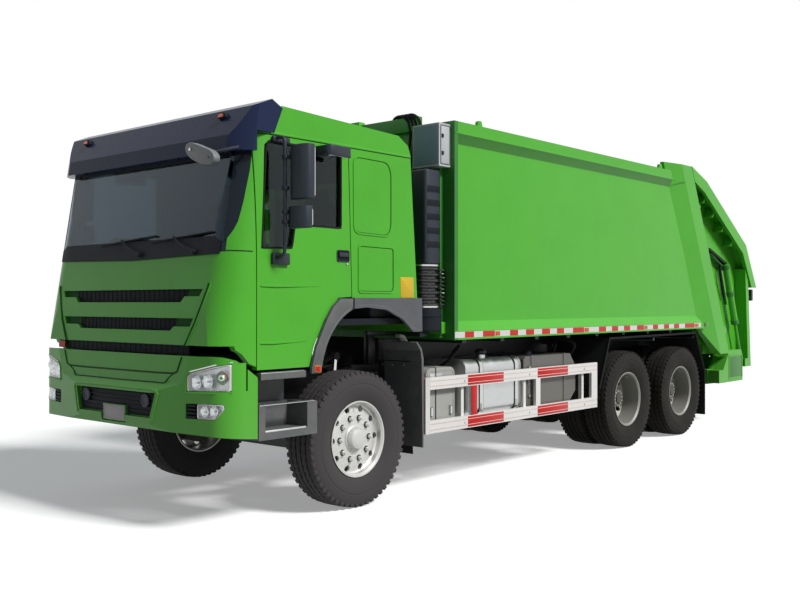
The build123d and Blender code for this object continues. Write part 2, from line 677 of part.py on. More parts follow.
with BuildPart() as air_intake:
    # Air intake snorkel behind the cab, its bellows and the filter housing on the chassis.
    block(800, 1010, 905, 1175, 1960, CONTROL_BOX_BOTTOM - 35)
    with Locations((at(915), 1050, 1770)):
        Cylinder(135, 380)
    with Locations((at(915), 1050, 1480)):
        Cylinder(155, 200)
    block(870, 960, RAIL_HALF_OUT, 1040, 1320, 1380)
    block(870, 960, RAIL_HALF_OUT - 60, RAIL_HALF_OUT, RAIL_TOP, 1380)
finish(air_intake, "air_intake")

with BuildPart() as ejector:
    block(
        EJECTOR_STATION, EJECTOR_STATION + EJECTOR_THICK, -BODY_INNER_HALF + 20, BODY_INNER_HALF - 20,
        BODY_BOTTOM + FLOOR_THICK + 10, ROOF_UNDER - 30,
    )
    twin_blocks(EJECTOR_STATION - 150, EJECTOR_STATION, 500, 580, BODY_BOTTOM + FLOOR_THICK + TOUCH, 2500)
    twin_blocks(
        EJECTOR_STATION - 150, EJECTOR_STATION + EJECTOR_THICK, BODY_INNER_HALF - 165, BODY_INNER_HALF - 65,
        BODY_BOTTOM + FLOOR_THICK + TOUCH, BODY_BOTTOM + FLOOR_THICK + 90,
    )
finish(ejector, "ejector")


# --- Cab -----------------------------------------------------------------------------------------
def cab_form(grow, outline=CAB_SIDE_VIEW):
    """The closed outer form of the cab, larger or smaller all round by grow."""
    with BuildPart() as form:
        side_slab(outline, -1500, 1500, grow=grow)
        plan = plan_face(CAB_LIP - 400, CAB_PLAN_VIEW, CAB_CORNER, shift=400 * CAB_RAKE, grow=grow)
        extrude(plan, amount=2600 * hypot(1, CAB_RAKE), dir=(-CAB_RAKE, 0, 1), mode=Mode.INTERSECT)
    return form.part


def cab_shell_form():
    """The cab's form as a hollow shell."""
    with BuildPart() as form:
        add(outer_form)
        add(inner_form, mode=Mode.SUBTRACT)
    return form.part


outer_form = cab_form(0)
inner_form = cab_form(-CAB_WALL, CAB_HOLLOW_VIEW)
shell_form = cab_shell_form()
WINDOW_VIEW = (
    (-1035, 2755), (-1075, 2010), (-775, 2020), (-745, 2195), (-265, 2195), (-265, 2790), (-1000, 2790),
)
SCREEN_VIEW = (
    (
        -SCREEN_HALF_LOW, SCREEN_BOTTOM,
    ), (SCREEN_HALF_LOW, SCREEN_BOTTOM), (SCREEN_HALF_TOP, SCREEN_TOP), (-SCREEN_HALF_TOP, SCREEN_TOP),
)
GRILLE_VIEW = (
    (-GRILLE_HALF_TOP, GRILLE_TOP), (GRILLE_HALF_TOP, GRILLE_TOP), (GRILLE_HALF_LOW, CAB_LIP - 20), (
        -GRILLE_HALF_LOW, CAB_LIP - 20,
    ),
)
DOOR_VIEW = (
    (DOOR_FRONT, DOOR_BOTTOM), (DOOR_FRONT, CAB_ROOF_LINE - SEAM), (DOOR_REAR - 40, CAB_ROOF_LINE - SEAM),
    (DOOR_REAR, ARCH_TOP + SEAM), (-299, ARCH_TOP), (-450, 1500), (-560, 1300), (-609, DOOR_BOTTOM),
)
REAR_WINDOW = (-620, 620, 2150, 2700)

with BuildPart() as cab_roof:
    add(shell_form)
    side_slab(
        [(-1700, CAB_ROOF_LINE), (900, CAB_ROOF_LINE), (900, 3400), (-1700, 3400)], -1500, 1500,
        Mode.INTERSECT,
    )
finish(cab_roof, "cab_roof")

with BuildPart() as cab_shell:
    add(shell_form)
    side_slab(
        [
            (DOOR_REAR - 40 + SEAM, CAB_ROOF_LINE), (DOOR_REAR + SEAM, ARCH_TOP), (900, ARCH_TOP),
            (900, CAB_ROOF_LINE),
        ],
        -1500, 1500, Mode.INTERSECT,
    )
    with BuildPart(mode=Mode.PRIVATE) as back:
        add(shell_form)
        side_slab([(560, 1385), (560, ARCH_TOP), (900, ARCH_TOP), (900, 1385)], -1500, 1500, Mode.INTERSECT)
    add(back.part)
    block(300, 900, *REAR_WINDOW, Mode.SUBTRACT)
finish(cab_shell, "cab_shell")

with BuildPart() as cab_front:
    add(shell_form)
    side_slab(
        [(-1700, CAB_ROOF_LINE), (-1700, CAB_LIP), (-1335, CAB_LIP), (-1250, 1270), (-1185, 1200),
         (DOOR_FRONT - SEAM, DOOR_BOTTOM + 25), (DOOR_FRONT - SEAM, CAB_ROOF_LINE)],
        -1500, 1500, Mode.INTERSECT,
    )
    front_prism(SCREEN_VIEW, -1600, -1112, Mode.SUBTRACT)
    front_prism(GRILLE_VIEW, -1600, -1300, Mode.SUBTRACT)
finish(cab_front, "cab_front")

with BuildPart() as windscreen:
    add(outer_form)
    front_prism(SCREEN_VIEW, -1600, -1112, Mode.INTERSECT)
    add(cab_form(-GLASS, CAB_HOLLOW_VIEW), mode=Mode.SUBTRACT)
finish(windscreen, "windscreen")

with BuildPart() as grille:
    add(outer_form)
    front_prism(GRILLE_VIEW, -1600, -1300, Mode.INTERSECT)
    add(cab_form(-GRILLE_DEPTH, CAB_HOLLOW_VIEW), mode=Mode.SUBTRACT)
    for top, bottom, step, half, wide in ((1724, 1672, 1630, 730, 930), (1516, 1456, 1424, 640, 860)):
        front_prism(
            [
                (-wide, top), (wide, top), (wide - 30, bottom), (half, bottom), (half - 40, step),
                (-half + 40, step), (-half, bottom), (-wide + 30, bottom),
            ],
            -1600, -1300, Mode.SUBTRACT,
        )
finish(grille, "grille")

with BuildPart() as visor:
    add(cab_form(VISOR_STAND))
    side_slab(
        [(-1600, VISOR_BOTTOM), (DOOR_FRONT - SEAM, VISOR_BOTTOM),
         (DOOR_FRONT - SEAM, CAB_ROOF_LINE + SEAM), (-960, CAB_ROOF_LINE + SEAM),
         (-880, VISOR_TOP + 20), (-990, VISOR_TOP + 80), (-1600, VISOR_TOP + 80)],
        -CAB_HALF - 10, CAB_HALF + 10, Mode.INTERSECT,
    )
    add(outer_form, mode=Mode.SUBTRACT)
finish(visor, "visor")

with BuildPart() as cab_floor:
    inside = CAB_HALF - CAB_WALL
    block(-560, 560, -inside, inside, FLOOR_HIGH, FLOOR_HIGH + FLOOR_WALL)
    twin_blocks(-1100, -560, TUNNEL_HALF - FLOOR_WALL, inside - 5, FLOOR_LOW, FLOOR_LOW + FLOOR_WALL)
    twin_blocks(-610, -560, TUNNEL_HALF - FLOOR_WALL, inside - 5, FLOOR_LOW, FLOOR_HIGH + FLOOR_WALL)
    twin_blocks(-1100, -560, TUNNEL_HALF - FLOOR_WALL, TUNNEL_HALF, FLOOR_LOW, FLOOR_HIGH + FLOOR_WALL)
    block(-1100, -560, -TUNNEL_HALF, TUNNEL_HALF, FLOOR_HIGH, FLOOR_HIGH + FLOOR_WALL)
    block(-1150, -1100, -inside + 40, inside - 40, FLOOR_LOW + 130, 1700)
    block(
        -1150, -1100, -TUNNEL_HALF + FLOOR_WALL, TUNNEL_HALF - FLOOR_WALL, FLOOR_LOW, FLOOR_HIGH,
        Mode.SUBTRACT,
    )
    twin_blocks(-1380, -1150, 700, 760, 1340, 1400)
    for side in (-1, 1):
        low, high = sorted((side * (RAIL_HALF_OUT + 14), side * (RAIL_HALF_OUT + 64)))
        side_slab(
            [(CAB_PIVOT[0] - 10, CAB_PIVOT[1] - 40), (CAB_PIVOT[0] + 45, CAB_PIVOT[1] - 30),
             (-1060, 1130), (-1040, FLOOR_LOW), (-1100, FLOOR_LOW),
             (-1130, 1160), (CAB_PIVOT[0] - 28, CAB_PIVOT[1] + 34)],
            low, high,
        )
        cross_bar(*CAB_PIVOT, 46, low, high)
        cross_bar(*CAB_PIVOT, CAB_PIVOT_RADIUS + TOUCH, low, high, Mode.SUBTRACT)
finish(cab_floor, "cab_floor")

with BuildPart() as cab_interior:
    # Dashboard with column and steering wheel, two seats and the bunk.
    front_prism([(-1080, 1560), (1080, 1560), (1080, 1930), (-1080, 1930)], -1100, -760)
    with Locations(Plane(origin=(at(-660), 560, 1960), z_dir=(-0.45, 0, 1))):
        with Locations((0, 0, -80)):
            Cylinder(25, 420)
        with Locations((0, 0, 120)):
            Torus(215, 16)
            Box(420, 36, 16)
            Box(36, 420, 16)
    for y in (-620, 620):
        block(-430, 80, y - 250, y + 250, FLOOR_HIGH + FLOOR_WALL, 1900)
        block(-30, 110, y - 240, y + 240, 1900, 2560)
    block(180, 540, -1100, 1100, FLOOR_HIGH + FLOOR_WALL, 1950)
finish(cab_interior, "cab_interior")

FLARE_OUT = 1232
with BuildPart() as arch_flares:
    for low, high in ((CAB_HALF - CAB_WALL - 60, FLARE_OUT), (-FLARE_OUT, -CAB_HALF + CAB_WALL + 60)):
        side_slab(
            [
                (DOOR_REAR + SEAM, ARCH_TOP), (672, ARCH_TOP), (676, 1385), (560, 1385), (430, 1490),
                (230, 1570), (0, 1590), (DOOR_REAR + SEAM, 1580),
            ],
            low, high,
        )
    block(-400, 612, -1500, 1500, ARCH_TOP - 0.01, 1900, Mode.SUBTRACT)
    add(outer_form, mode=Mode.SUBTRACT)
    twin_blocks(DOOR_REAR + SEAM, 560, CAB_HALF - 90, CAB_HALF, 1620, ARCH_TOP)
finish(arch_flares, "arch_flares")

# Mirrors on the door: (front, rear, inner y, outer y, bottom, top) of the two arms, the post, the main
# and the wide-angle housing, and the kerb mirror over the window.
MIRROR_BLOCKS = (
    (
        -965, -935, CAB_HALF, 1330, 2795, 2822,
    ), (-980, -820, CAB_HALF, 1240, 1900, 1985), (-965, -935, 1240, 1330, 1935, 1965),
    (
        -965, -935, 1300, 1330, 1935, 2822,
    ), (-940, -850, 1330, 1530, 2360, 2745), (-940, -850, 1310, 1510, 2155, 2310),
    (-600, -320, 1235, 1420, 2715, 2790), (-500, -420, CAB_HALF, 1260, 2765, 2822),
)

for side, name in ((1, "left"), (-1, "right")):
    low, high = (900, 1400) if side > 0 else (-1400, -900)
    with BuildPart() as door:
        add(cab_form(0))
        add(cab_form(-CAB_WALL, CAB_HOLLOW_VIEW), mode=Mode.SUBTRACT)
        side_slab(DOOR_VIEW, low, high, Mode.INTERSECT)
        side_slab(WINDOW_VIEW, low, high, Mode.SUBTRACT)
    finish(door, f"door_panel_{name}")

    with BuildPart() as door_glass:
        middle = side * (CAB_HALF - CAB_WALL / 2)
        side_slab(WINDOW_VIEW, middle - GLASS / 2, middle + GLASS / 2)
    finish(door_glass, f"door_glass_{name}")

    with BuildPart() as door_trim:
        # Front part of the wheel arch flare, and the mirrors on their arm.
        flare_low, flare_high = sorted((side * CAB_HALF, side * FLARE_OUT))
        side_slab(
            [(-299, ARCH_TOP), (DOOR_REAR - 1, ARCH_TOP), (DOOR_REAR - 1, 1580), (-260, 1540),
             (-420, 1380), (-505, 1200), (-518, 1095),
             (-612, 1095), (-609, DOOR_BOTTOM), (-560, 1300), (-450, 1500)],
            flare_low, flare_high,
        )
        for front, rear, near, far, bottom, top in MIRROR_BLOCKS:
            low, high = sorted((side * near, side * far))
            block(front, rear, low, high, bottom, top)
    finish(door_trim, f"door_trim_{name}")


# --- Wheels --------------------------------------------------------------------------------------
def revolve_wheel(outline, station, mode=Mode.ADD):
    """Turn a section of (y, radius) points about a wheel's axis."""
    with BuildSketch(
        Plane(origin=(at(station), 0, TYRE_RADIUS), x_dir=(0, 1, 0), z_dir=(1, 0, 0)),
    ) as section:
        with BuildLine():
            Polyline(*outline, close=True)
        make_face()
    axis = Axis((at(station), 0, TYRE_RADIUS), (0, 1, 0))
    revolve(section.sketch, axis=axis, revolution_arc=360, mode=mode)


def tyre_form(station, middle):
    """Make a tyre of flat facets, with a facet on the ground and its mid-plane at a given y."""
    section = [(y, r) for y, r in TYRE_HALF_SECTION] + [(-y, r) for y, r in reversed(TYRE_HALF_SECTION)]
    turn = 2 * pi / TYRE_FACETS
    facets = []
    for i in range(TYRE_FACETS):
        for (y, r), (next_y, next_r) in zip(section, section[1:] + section[:1]):
            corners = [
                (
                    at(station) + radius / cos(turn / 2) * sin(turn * step),
                    middle + offset,
                    TYRE_RADIUS - radius / cos(turn / 2) * cos(turn * step),
                )
                for step, offset, radius in (
                    (i - 0.5, y, r), (i + 0.5, y, r), (i + 0.5, next_y, next_r), (i - 0.5, next_y, next_r),
                )
            ]
            facets.append(Face(Wire.make_polygon(corners)))
    return Solid(Shell(facets))


def dish_section(side, rim_y, face_y):
    """Outline of a dished disc from a rim's barrel at one y to the hub's flange at another."""
    lean = DISC_WALL if face_y > rim_y else -DISC_WALL
    outer, inner = RIM_RADIUS - RIM_WALL / 2, HUB_RADIUS - 10
    return [
        (side * rim_y, outer), (side * (rim_y - lean), outer), (side * (face_y - lean), DISH_RADIUS),
        (side * (face_y - lean), inner), (side * face_y, inner), (side * face_y, DISH_RADIUS + 4),
    ]


def rim_section(middle):
    """Outline of a rim barrel whose mid-plane is at a given y."""
    half = RIM_WIDTH / 2
    return [
        (middle - half, RIM_RADIUS + RIM_FLANGE), (
            middle - half + 10, RIM_RADIUS + RIM_FLANGE,
        ), (middle - half + 10, RIM_RADIUS),
        (middle + half - 10, RIM_RADIUS), (
            middle + half - 10, RIM_RADIUS + RIM_FLANGE,
        ), (middle + half, RIM_RADIUS + RIM_FLANGE),
        (middle + half, RIM_RADIUS - RIM_WALL), (middle - half, RIM_RADIUS - RIM_WALL),
    ]


def wheel(name, side, station, middles, disc, hub_in, hub_out):
    """Write the tyres and the rims of one wheel. The disc and the hub are given from the centre line."""
    with BuildPart() as tyres:
        for middle in middles:
            add(tyre_form(station, side * middle))
    finish(tyres, f"tyre_{name}")
    with BuildPart() as rims:
        for middle in middles:
            revolve_wheel(rim_section(side * middle), station)
        low, high = sorted((side * (disc - DISC_WALL), side * disc))
        if len(middles) == 1:
            cross_bar(station, TYRE_RADIUS, RIM_RADIUS - RIM_WALL / 2, low, high)
        else:
            # The two discs of a twin wheel meet back to back at the hub's flange.
            meet = disc - DISC_WALL
            revolve_wheel(dish_section(side, middles[0] + RIM_WIDTH / 2 - 30, meet), station)
            revolve_wheel(dish_section(side, middles[1] - RIM_WIDTH / 2 + 30, meet), station)
        cross_bar(station, TYRE_RADIUS, DRUM_RADIUS, *sorted((side * hub_in, side * (disc - DISC_WALL))))
        cross_bar(station, TYRE_RADIUS, HUB_RADIUS, *sorted((side * hub_in, side * hub_out)))
        with BuildSketch(side_plane(high + 5)) as holes:
            with Locations((at(station), TYRE_RADIUS)):
                with PolarLocations(HAND_HOLE_CIRCLE, STUD_COUNT):
                    Circle(HAND_HOLE_RADIUS)
        extrude(holes.sketch, amount=DISC_WALL + 10, mode=Mode.SUBTRACT)
        with BuildSketch(side_plane(max(side * (disc - 2), side * (disc + 24)))) as studs:
            with Locations((at(station), TYRE_RADIUS)):
                with PolarLocations(STUD_CIRCLE, STUD_COUNT):
                    Circle(STUD_RADIUS)
        extrude(studs.sketch, amount=26)
        bore_end = hub_out - 25
        cross_bar(
            station, TYRE_RADIUS, HUB_BORE, *sorted((side * (hub_in - 1), side * bore_end)),
            Mode.SUBTRACT,
        )
    finish(rims, f"rim_{name}")


for side, name in ((1, "left"), (-1, "right")):
    middle = FRONT_TRACK / 2
    wheel(f"front_{name}", side, 0, (middle,), middle + 75, KINGPIN_HALF + 100, middle + 140)
    for number, station in ((1, WHEELBASE), (2, REAR_AXLE)):
        middle = REAR_TRACK / 2
        twins = (middle - TWIN_SPACING / 2, middle + TWIN_SPACING / 2)
        wheel(f"rear_{number}_{name}", side, station, twins, middle + 25, middle - 170, middle + 190)

    with BuildPart() as knuckle:
        # Yoke round the kingpin boss, with the spindle that carries the hub.
        kingpin = side * KINGPIN_HALF
        for height in (TYRE_RADIUS + 95, TYRE_RADIUS - 95):
            with Locations((at(0), kingpin, height)):
                Cylinder(58, 55)
                Cylinder(KINGPIN_RADIUS + TOUCH, 60, mode=Mode.SUBTRACT)
            link_low, link_high = sorted((side * (KINGPIN_HALF + 35), side * (KINGPIN_HALF + 80)))
            block(-40, 40, link_low, link_high, height - 27, height + 27)
        web_low, web_high = sorted((side * (KINGPIN_HALF + 66), side * (KINGPIN_HALF + 95)))
        block(-55, 55, web_low, web_high, TYRE_RADIUS - 122, TYRE_RADIUS + 122)
        cross_bar(
            0, TYRE_RADIUS, HUB_BORE - TOUCH,
            *sorted((side * (KINGPIN_HALF + 66), side * (FRONT_TRACK / 2 + 110))),
        )
        arm_low, arm_high = sorted((side * (KINGPIN_HALF - 20), side * (KINGPIN_HALF + 20)))
        block(40, 190, arm_low, arm_high, TYRE_RADIUS - 120, TYRE_RADIUS - 90)
    finish(knuckle, f"knuckle_{name}")

# --- Tailgate ------------------------------------------------------------------------------------
def tail_front(height):
    """Point on the front edge of the tailgate."""
    return (mating(height) + TAIL_GAP, height)


TAIL_TOP = (
    tail_front(POST_TOP_HEIGHT + 35), (POST_FOOT - 255, POST_TOP_HEIGHT - 115), *gate((1040, 2425)),
    (TAIL_STATION, 1840),
)
TAIL_LOW = gate((1337, 1172), (1337, 782), (1189, 602), (870, 540), (160, 545), (160, 735), (300, 735))
TAIL_SIDE_VIEW = (*TAIL_TOP, *TAIL_LOW, tail_front(940))
slot_start = along(BARREL_TOP, SLIDE_DROP, 60)
rod_foot = along(BARREL_TOP, SLIDE_DROP, SLIDE_ROD_LENGTH)

with BuildPart() as tailgate_sides:
    both_sides(TAIL_SIDE_VIEW, SIDE_IN, SIDE_OUT)
    for side in (-1, 1):
        low, high = sorted((side * SIDE_OUT, side * (BODY_HALF_WIDTH - 20)))
        side_slab(gate((1060, 2095), (1165, 1935), (1260, 740), (1160, 740)), low, high)
        side_slab(
            gate(
                (472, 985), (910, 985), (960, 900), (960, 560), (170, 560), (170, 730), (305, 730),
                (472, 940),
            ),
            low, high,
        )
        side_slab(gate((1050, 850), (1170, 850), (1170, 740), (1050, 740)), low, high)
        side_bar(
            along(BARREL_TOP, SLIDE_DROP, BARREL_LENGTH - 330), rod_foot, side * BARREL_SIDE,
            SLIDE_ROD_RADIUS,
        )
        # Slot for the pin that ties the carriage to the outer cylinder.
        low, high = sorted((side * (SIDE_IN - 10), side * (SIDE_OUT + 10)))
        slot_end = along(slot_start, SLIDE_DROP, SLIDE_TRAVEL)
        across = (-SLIDE_DROP[1] * 48, SLIDE_DROP[0] * 48)
        first, last = along(slot_start, SLIDE_DROP, -50), along(slot_end, SLIDE_DROP, 50)
        side_slab(
            [(first[0] + across[0], first[1] + across[1]), (last[0] + across[0], last[1] + across[1]),
             (last[0] - across[0], last[1] - across[1]), (first[0] - across[0], first[1] - across[1])],
            low, high, Mode.SUBTRACT,
        )
        # Lug for the lifting cylinder, and the arm that reaches the hinge.
        low, high = sorted((side * SIDE_OUT, side * (LIFT_SIDE - LIFT_BARREL - 3)))
        cross_bar(*LIFT_TOP, 50, low, high)
        low, high = sorted((side * SIDE_OUT, side * (LIFT_SIDE + LIFT_BARREL + 12)))
        cross_bar(*LIFT_TOP, LIFT_ROD, low, high)
finish(tailgate_sides, "tailgate_sides")

with BuildPart() as tailgate_cover:
    inner_top = (
        tail_front(POST_TOP_HEIGHT - 40), (POST_FOOT - 280, POST_TOP_HEIGHT - 180), *gate((1000, 2370)),
        (TAIL_STATION - 75, 1840),
    )
    side_slab([*TAIL_TOP, *reversed(inner_top)], -SIDE_IN, SIDE_IN)
    lip = (
        tail_front(POST_TOP_HEIGHT - 150), (POST_FOOT - 320, POST_TOP_HEIGHT - 260), *gate((930, 2310)),
        (TAIL_STATION - 170, 1840),
    )
    both_sides([*TAIL_TOP, *reversed(lip)], BODY_HALF_WIDTH - 45, BODY_HALF_WIDTH)
    both_sides([*TAIL_TOP, *reversed(inner_top)], SIDE_OUT, BODY_HALF_WIDTH)
    for side in (-1, 1):
        low, high = sorted((side * 700, side * 800))
        side_slab(
            [(TAIL_HINGE[0], TAIL_HINGE[1] + TAIL_EAR - 4), (TAIL_HINGE[0] + 280, TAIL_HINGE[1] + 40),
             (TAIL_HINGE[0] + 280, TAIL_HINGE[1] - 38), (TAIL_HINGE[0], TAIL_HINGE[1] - TAIL_EAR + 4)],
            low, high,
        )
        cross_bar(*TAIL_HINGE, TAIL_EAR, low, high)
        cross_bar(*TAIL_HINGE, TAIL_PIN + TOUCH, low, high, Mode.SUBTRACT)
finish(tailgate_cover, "tailgate_cover")

LIFTER_HEIGHT = 970
LIFTER_SPACING = (1200, 240)
LIFTER_HOLE = 11
with BuildPart() as hopper:
    inner_low = gate((1305, 1172), (1305, 790), (1172, 634), (865, 570), (195, 575))
    side_slab([*TAIL_LOW[:5], *reversed(inner_low)], -SIDE_IN, SIDE_IN)
    side_slab(
        gate((160, 575), (195, 575), (195, 705), (300, 705), (300, 735), (160, 735)), -SIDE_IN, SIDE_IN,
    )
    # Tapped places for a bin lifter.
    with BuildSketch(front_plane(POST_FOOT + 1290)) as bolts:
        with Locations((0, LIFTER_HEIGHT)):
            with GridLocations(*LIFTER_SPACING, 2, 2):
                Circle(LIFTER_HOLE)
    extrude(bolts.sketch, amount=80, mode=Mode.SUBTRACT)
finish(hopper, "hopper")

# --- Packing gear --------------------------------------------------------------------------------
UP = (-SLIDE_DROP[0], -SLIDE_DROP[1])
px, pz = PACKER_PIVOT
with BuildPart() as carriage:
    foot, head = along(PACKER_PIVOT, UP, 85), along(PACKER_PIVOT, UP, 1050)
    side_slab(
        [(foot[0] - 60 * UP[1], foot[1] + 60 * UP[0]), (foot[0] + 60 * UP[1], foot[1] - 60 * UP[0]),
         (head[0] + 60 * UP[1], head[1] - 60 * UP[0]), (head[0] - 60 * UP[1], head[1] + 60 * UP[0])],
        -SIDE_IN + 15, SIDE_IN - 15,
    )
    for side in (-1, 1):
        low, high = sorted((side * 930, side * (SIDE_IN - 15)))
        # Cheek that holds the packer's shaft, and the rib that carries the pin through the side wall.
        side_slab(
            [(px - 90, pz + 163), (px + 60, pz + 203), (px + 70, pz), (px + 40, pz - 57), (px - 40, pz - 57),
             (px - 70, pz)],
            low, high,
        )
        side_slab(
            [
                (px - 320, pz + 703), (px - 60, pz + 123), (px + 80, pz + 383), (px + 120, pz + 493),
                (px + 70, pz + 563),
            ],
            low, high,
        )
        cross_bar(*slot_start, 36, *sorted((side * 930, side * BARREL_SIDE)))
        barrel_foot = along(BARREL_TOP, SLIDE_DROP, BARREL_LENGTH)
        side_bar(BARREL_TOP, barrel_foot, side * BARREL_SIDE, BARREL_RADIUS)
        side_bar(
            along(BARREL_TOP, SLIDE_DROP, 40), barrel_foot, side * BARREL_SIDE, SLIDE_ROD_RADIUS + TOUCH,
            Mode.SUBTRACT,
        )
        cross_bar(*PACKER_PIVOT, 35 + TOUCH, *sorted((side * 900, side * SIDE_IN)), Mode.SUBTRACT)
finish(carriage, "carriage")

with BuildPart() as packer:
    side_slab(
        [(px - 45, pz), (px - 55, pz - PACKER_LENGTH), (px + 5, pz - PACKER_LENGTH), (px + 45, pz)],
        -SIDE_IN + 30, SIDE_IN - 30,
    )
    cross_bar(px, pz, 55, -920, 920)
    twin_blocks(px - 100, px + 100, 920, 1100, pz - 75, pz + 75, Mode.SUBTRACT)
    cross_bar(px, pz, 35, -SIDE_IN + 16, SIDE_IN - 16)
finish(packer, "packer")

# --- Lifting cylinders ---------------------------------------------------------------------------
lift_length = hypot(LIFT_FOOT[0] - LIFT_TOP[0], LIFT_FOOT[1] - LIFT_TOP[1])
lift_way = ((LIFT_FOOT[0] - LIFT_TOP[0]) / lift_length, (LIFT_FOOT[1] - LIFT_TOP[1]) / lift_length)
LIFT_BARREL_LENGTH = 1150
with BuildPart() as lift_barrels:
    for side in (-1, 1):
        low, high = sorted((side * (LIFT_SIDE - LIFT_BARREL), side * (LIFT_SIDE + LIFT_BARREL)))
        side_bar(
            along(LIFT_TOP, lift_way, 20), along(LIFT_TOP, lift_way, LIFT_BARREL_LENGTH),
            side * LIFT_SIDE, LIFT_BARREL,
        )
        cross_bar(*LIFT_TOP, 42, low, high)
        cross_bar(
            *LIFT_TOP, LIFT_ROD + TOUCH, *sorted((side * (LIFT_SIDE - 60), side * (LIFT_SIDE + 60))),
            Mode.SUBTRACT,
        )
        side_bar(
            along(LIFT_TOP, lift_way, 90), along(LIFT_TOP, lift_way, LIFT_BARREL_LENGTH),
            side * LIFT_SIDE, LIFT_ROD + TOUCH, Mode.SUBTRACT,
        )
finish(lift_barrels, "lift_barrels")

with BuildPart() as lift_rods:
    for side in (-1, 1):
        side_bar(
            along(LIFT_TOP, lift_way, 110), along(LIFT_TOP, lift_way, lift_length - 25), side * LIFT_SIDE,
            LIFT_ROD,
        )
        low, high = sorted((side * (LIFT_SIDE - 22), side * (LIFT_SIDE + 22)))
        cross_bar(*LIFT_FOOT, 38, low, high)
        cross_bar(*LIFT_FOOT, LIFT_ROD + TOUCH, low, high, Mode.SUBTRACT)
finish(lift_rods, "lift_rods")
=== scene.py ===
"""Looks of a rear-loading compactor truck, dressed over its CAD nodes.

The frame is the CAD's: metres, +X forward, +Y to the left, +Z up, with the ground at zero. Sizes in the
classes are millimetres: a station is a distance behind the front axle, a side a distance to the left of
the centre line, and a height one above the ground. spot() turns the three into a point in metres.
"""

from __future__ import annotations

import json
import logging
import math
from collections.abc import Callable, Iterable, Sequence
from dataclasses import dataclass, field
from enum import Enum

import bmesh
import bpy
from mathutils import Matrix, Vector

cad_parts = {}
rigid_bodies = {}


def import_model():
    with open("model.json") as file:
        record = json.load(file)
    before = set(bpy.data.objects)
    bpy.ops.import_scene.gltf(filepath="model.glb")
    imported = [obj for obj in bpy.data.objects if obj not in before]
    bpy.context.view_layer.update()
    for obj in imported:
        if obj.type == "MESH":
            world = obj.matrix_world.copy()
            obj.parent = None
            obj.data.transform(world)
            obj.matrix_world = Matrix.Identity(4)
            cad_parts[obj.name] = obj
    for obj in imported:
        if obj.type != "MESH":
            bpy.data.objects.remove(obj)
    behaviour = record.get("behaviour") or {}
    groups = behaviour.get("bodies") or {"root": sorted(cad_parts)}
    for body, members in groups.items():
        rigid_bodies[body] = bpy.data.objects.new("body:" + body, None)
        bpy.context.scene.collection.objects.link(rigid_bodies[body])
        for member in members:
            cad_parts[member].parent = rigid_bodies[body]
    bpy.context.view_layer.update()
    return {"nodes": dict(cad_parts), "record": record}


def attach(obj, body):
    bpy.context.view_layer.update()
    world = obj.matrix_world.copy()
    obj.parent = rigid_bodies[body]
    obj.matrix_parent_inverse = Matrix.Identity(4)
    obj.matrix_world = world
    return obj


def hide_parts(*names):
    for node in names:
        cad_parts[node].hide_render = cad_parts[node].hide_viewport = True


Pair = tuple[float, float]
Table = tuple[tuple[float, ...], ...]
Line = Sequence[Pair]
Tree = bpy.types.NodeTree
Socket = bpy.types.NodeSocket

LOG = logging.getLogger("truck")
MM = 0.001
FRONT_AXLE_X = 3.275
BOTH_WAYS = (1, -1)
REAR_AXLES = (4325, 5675)
X_AXIS, Y_AXIS, Z_AXIS = (Vector(axis) for axis in ((1, 0, 0), (0, 1, 0), (0, 0, 1)))


def spot(station: float, side: float, height: float) -> Vector:
    """Turn a place in millimetres into a point of the row frame.

    Args:
        station: Distance behind the front axle.
        side: Distance to the left of the centre line.
        height: Height above the ground.

    Returns:
        The point in metres.
    """
    return Vector((FRONT_AXLE_X - station * MM, side * MM, height * MM))


def spots(*places: tuple[float, float, float]) -> list[Vector]:
    """Turn places of station, side and height into points."""
    return [spot(*place) for place in places]


def span(way: int, near: float, far: float) -> list[float]:
    """Return two distances from the centre line as sides in rising order, to the left or to the right."""
    return sorted((way * near, way * far))


def oblong(left: float, right: float, low: float, high: float) -> list[Pair]:
    """Return the corners of an upright oblong."""
    return [(left, low), (right, low), (right, high), (left, high)]


def linear(colour: str) -> tuple[float, float, float, float]:
    """Turn an sRGB hex colour into the linear one that a shader takes.

    Args:
        colour: Six hex digits.

    Returns:
        Red, green, blue and an alpha of one.
    """
    parts = [int(colour[i : i + 2], 16) / 255 for i in (0, 2, 4)]
    low = [part / 12.92 if part <= 0.04045 else ((part + 0.055) / 1.055) ** 2.4 for part in parts]
    return (low[0], low[1], low[2], 1.0)


def add_node(tree: Tree, kind: str, feeds: dict | None = None, **settings: object) -> bpy.types.Node:
    """Add one node to a tree.

    Args:
        tree: The shader or geometry tree.
        kind: The node's type name.
        feeds: What each input takes, by its name or number: an output socket or a value.
        **settings: The node's own properties.

    Returns:
        The node.
    """
    node = tree.nodes.new(kind)
    for name, value in settings.items():
        setattr(node, name, value)
    for name, value in (feeds or {}).items():
        if isinstance(value, Socket):
            tree.links.new(value, node.inputs[name])
        else:
            node.inputs[name].default_value = value
    return node


def noise(tree: Tree, scale: float, detail: float, roughness: float = 0.5) -> Socket:
    """Add clouds of noise over the Object coordinates, and return their strength."""
    feeds = {"Vector": object_place(tree), "Scale": scale, "Detail": detail, "Roughness": roughness}
    return add_node(tree, "ShaderNodeTexNoise", feeds).outputs["Fac"]


def object_place(tree: Tree) -> Socket:
    """Return the tree's Object coordinates, with their node added when it is new."""
    node = tree.nodes.get("Object place") or add_node(tree, "ShaderNodeTexCoord", name="Object place")
    return node.outputs["Object"]


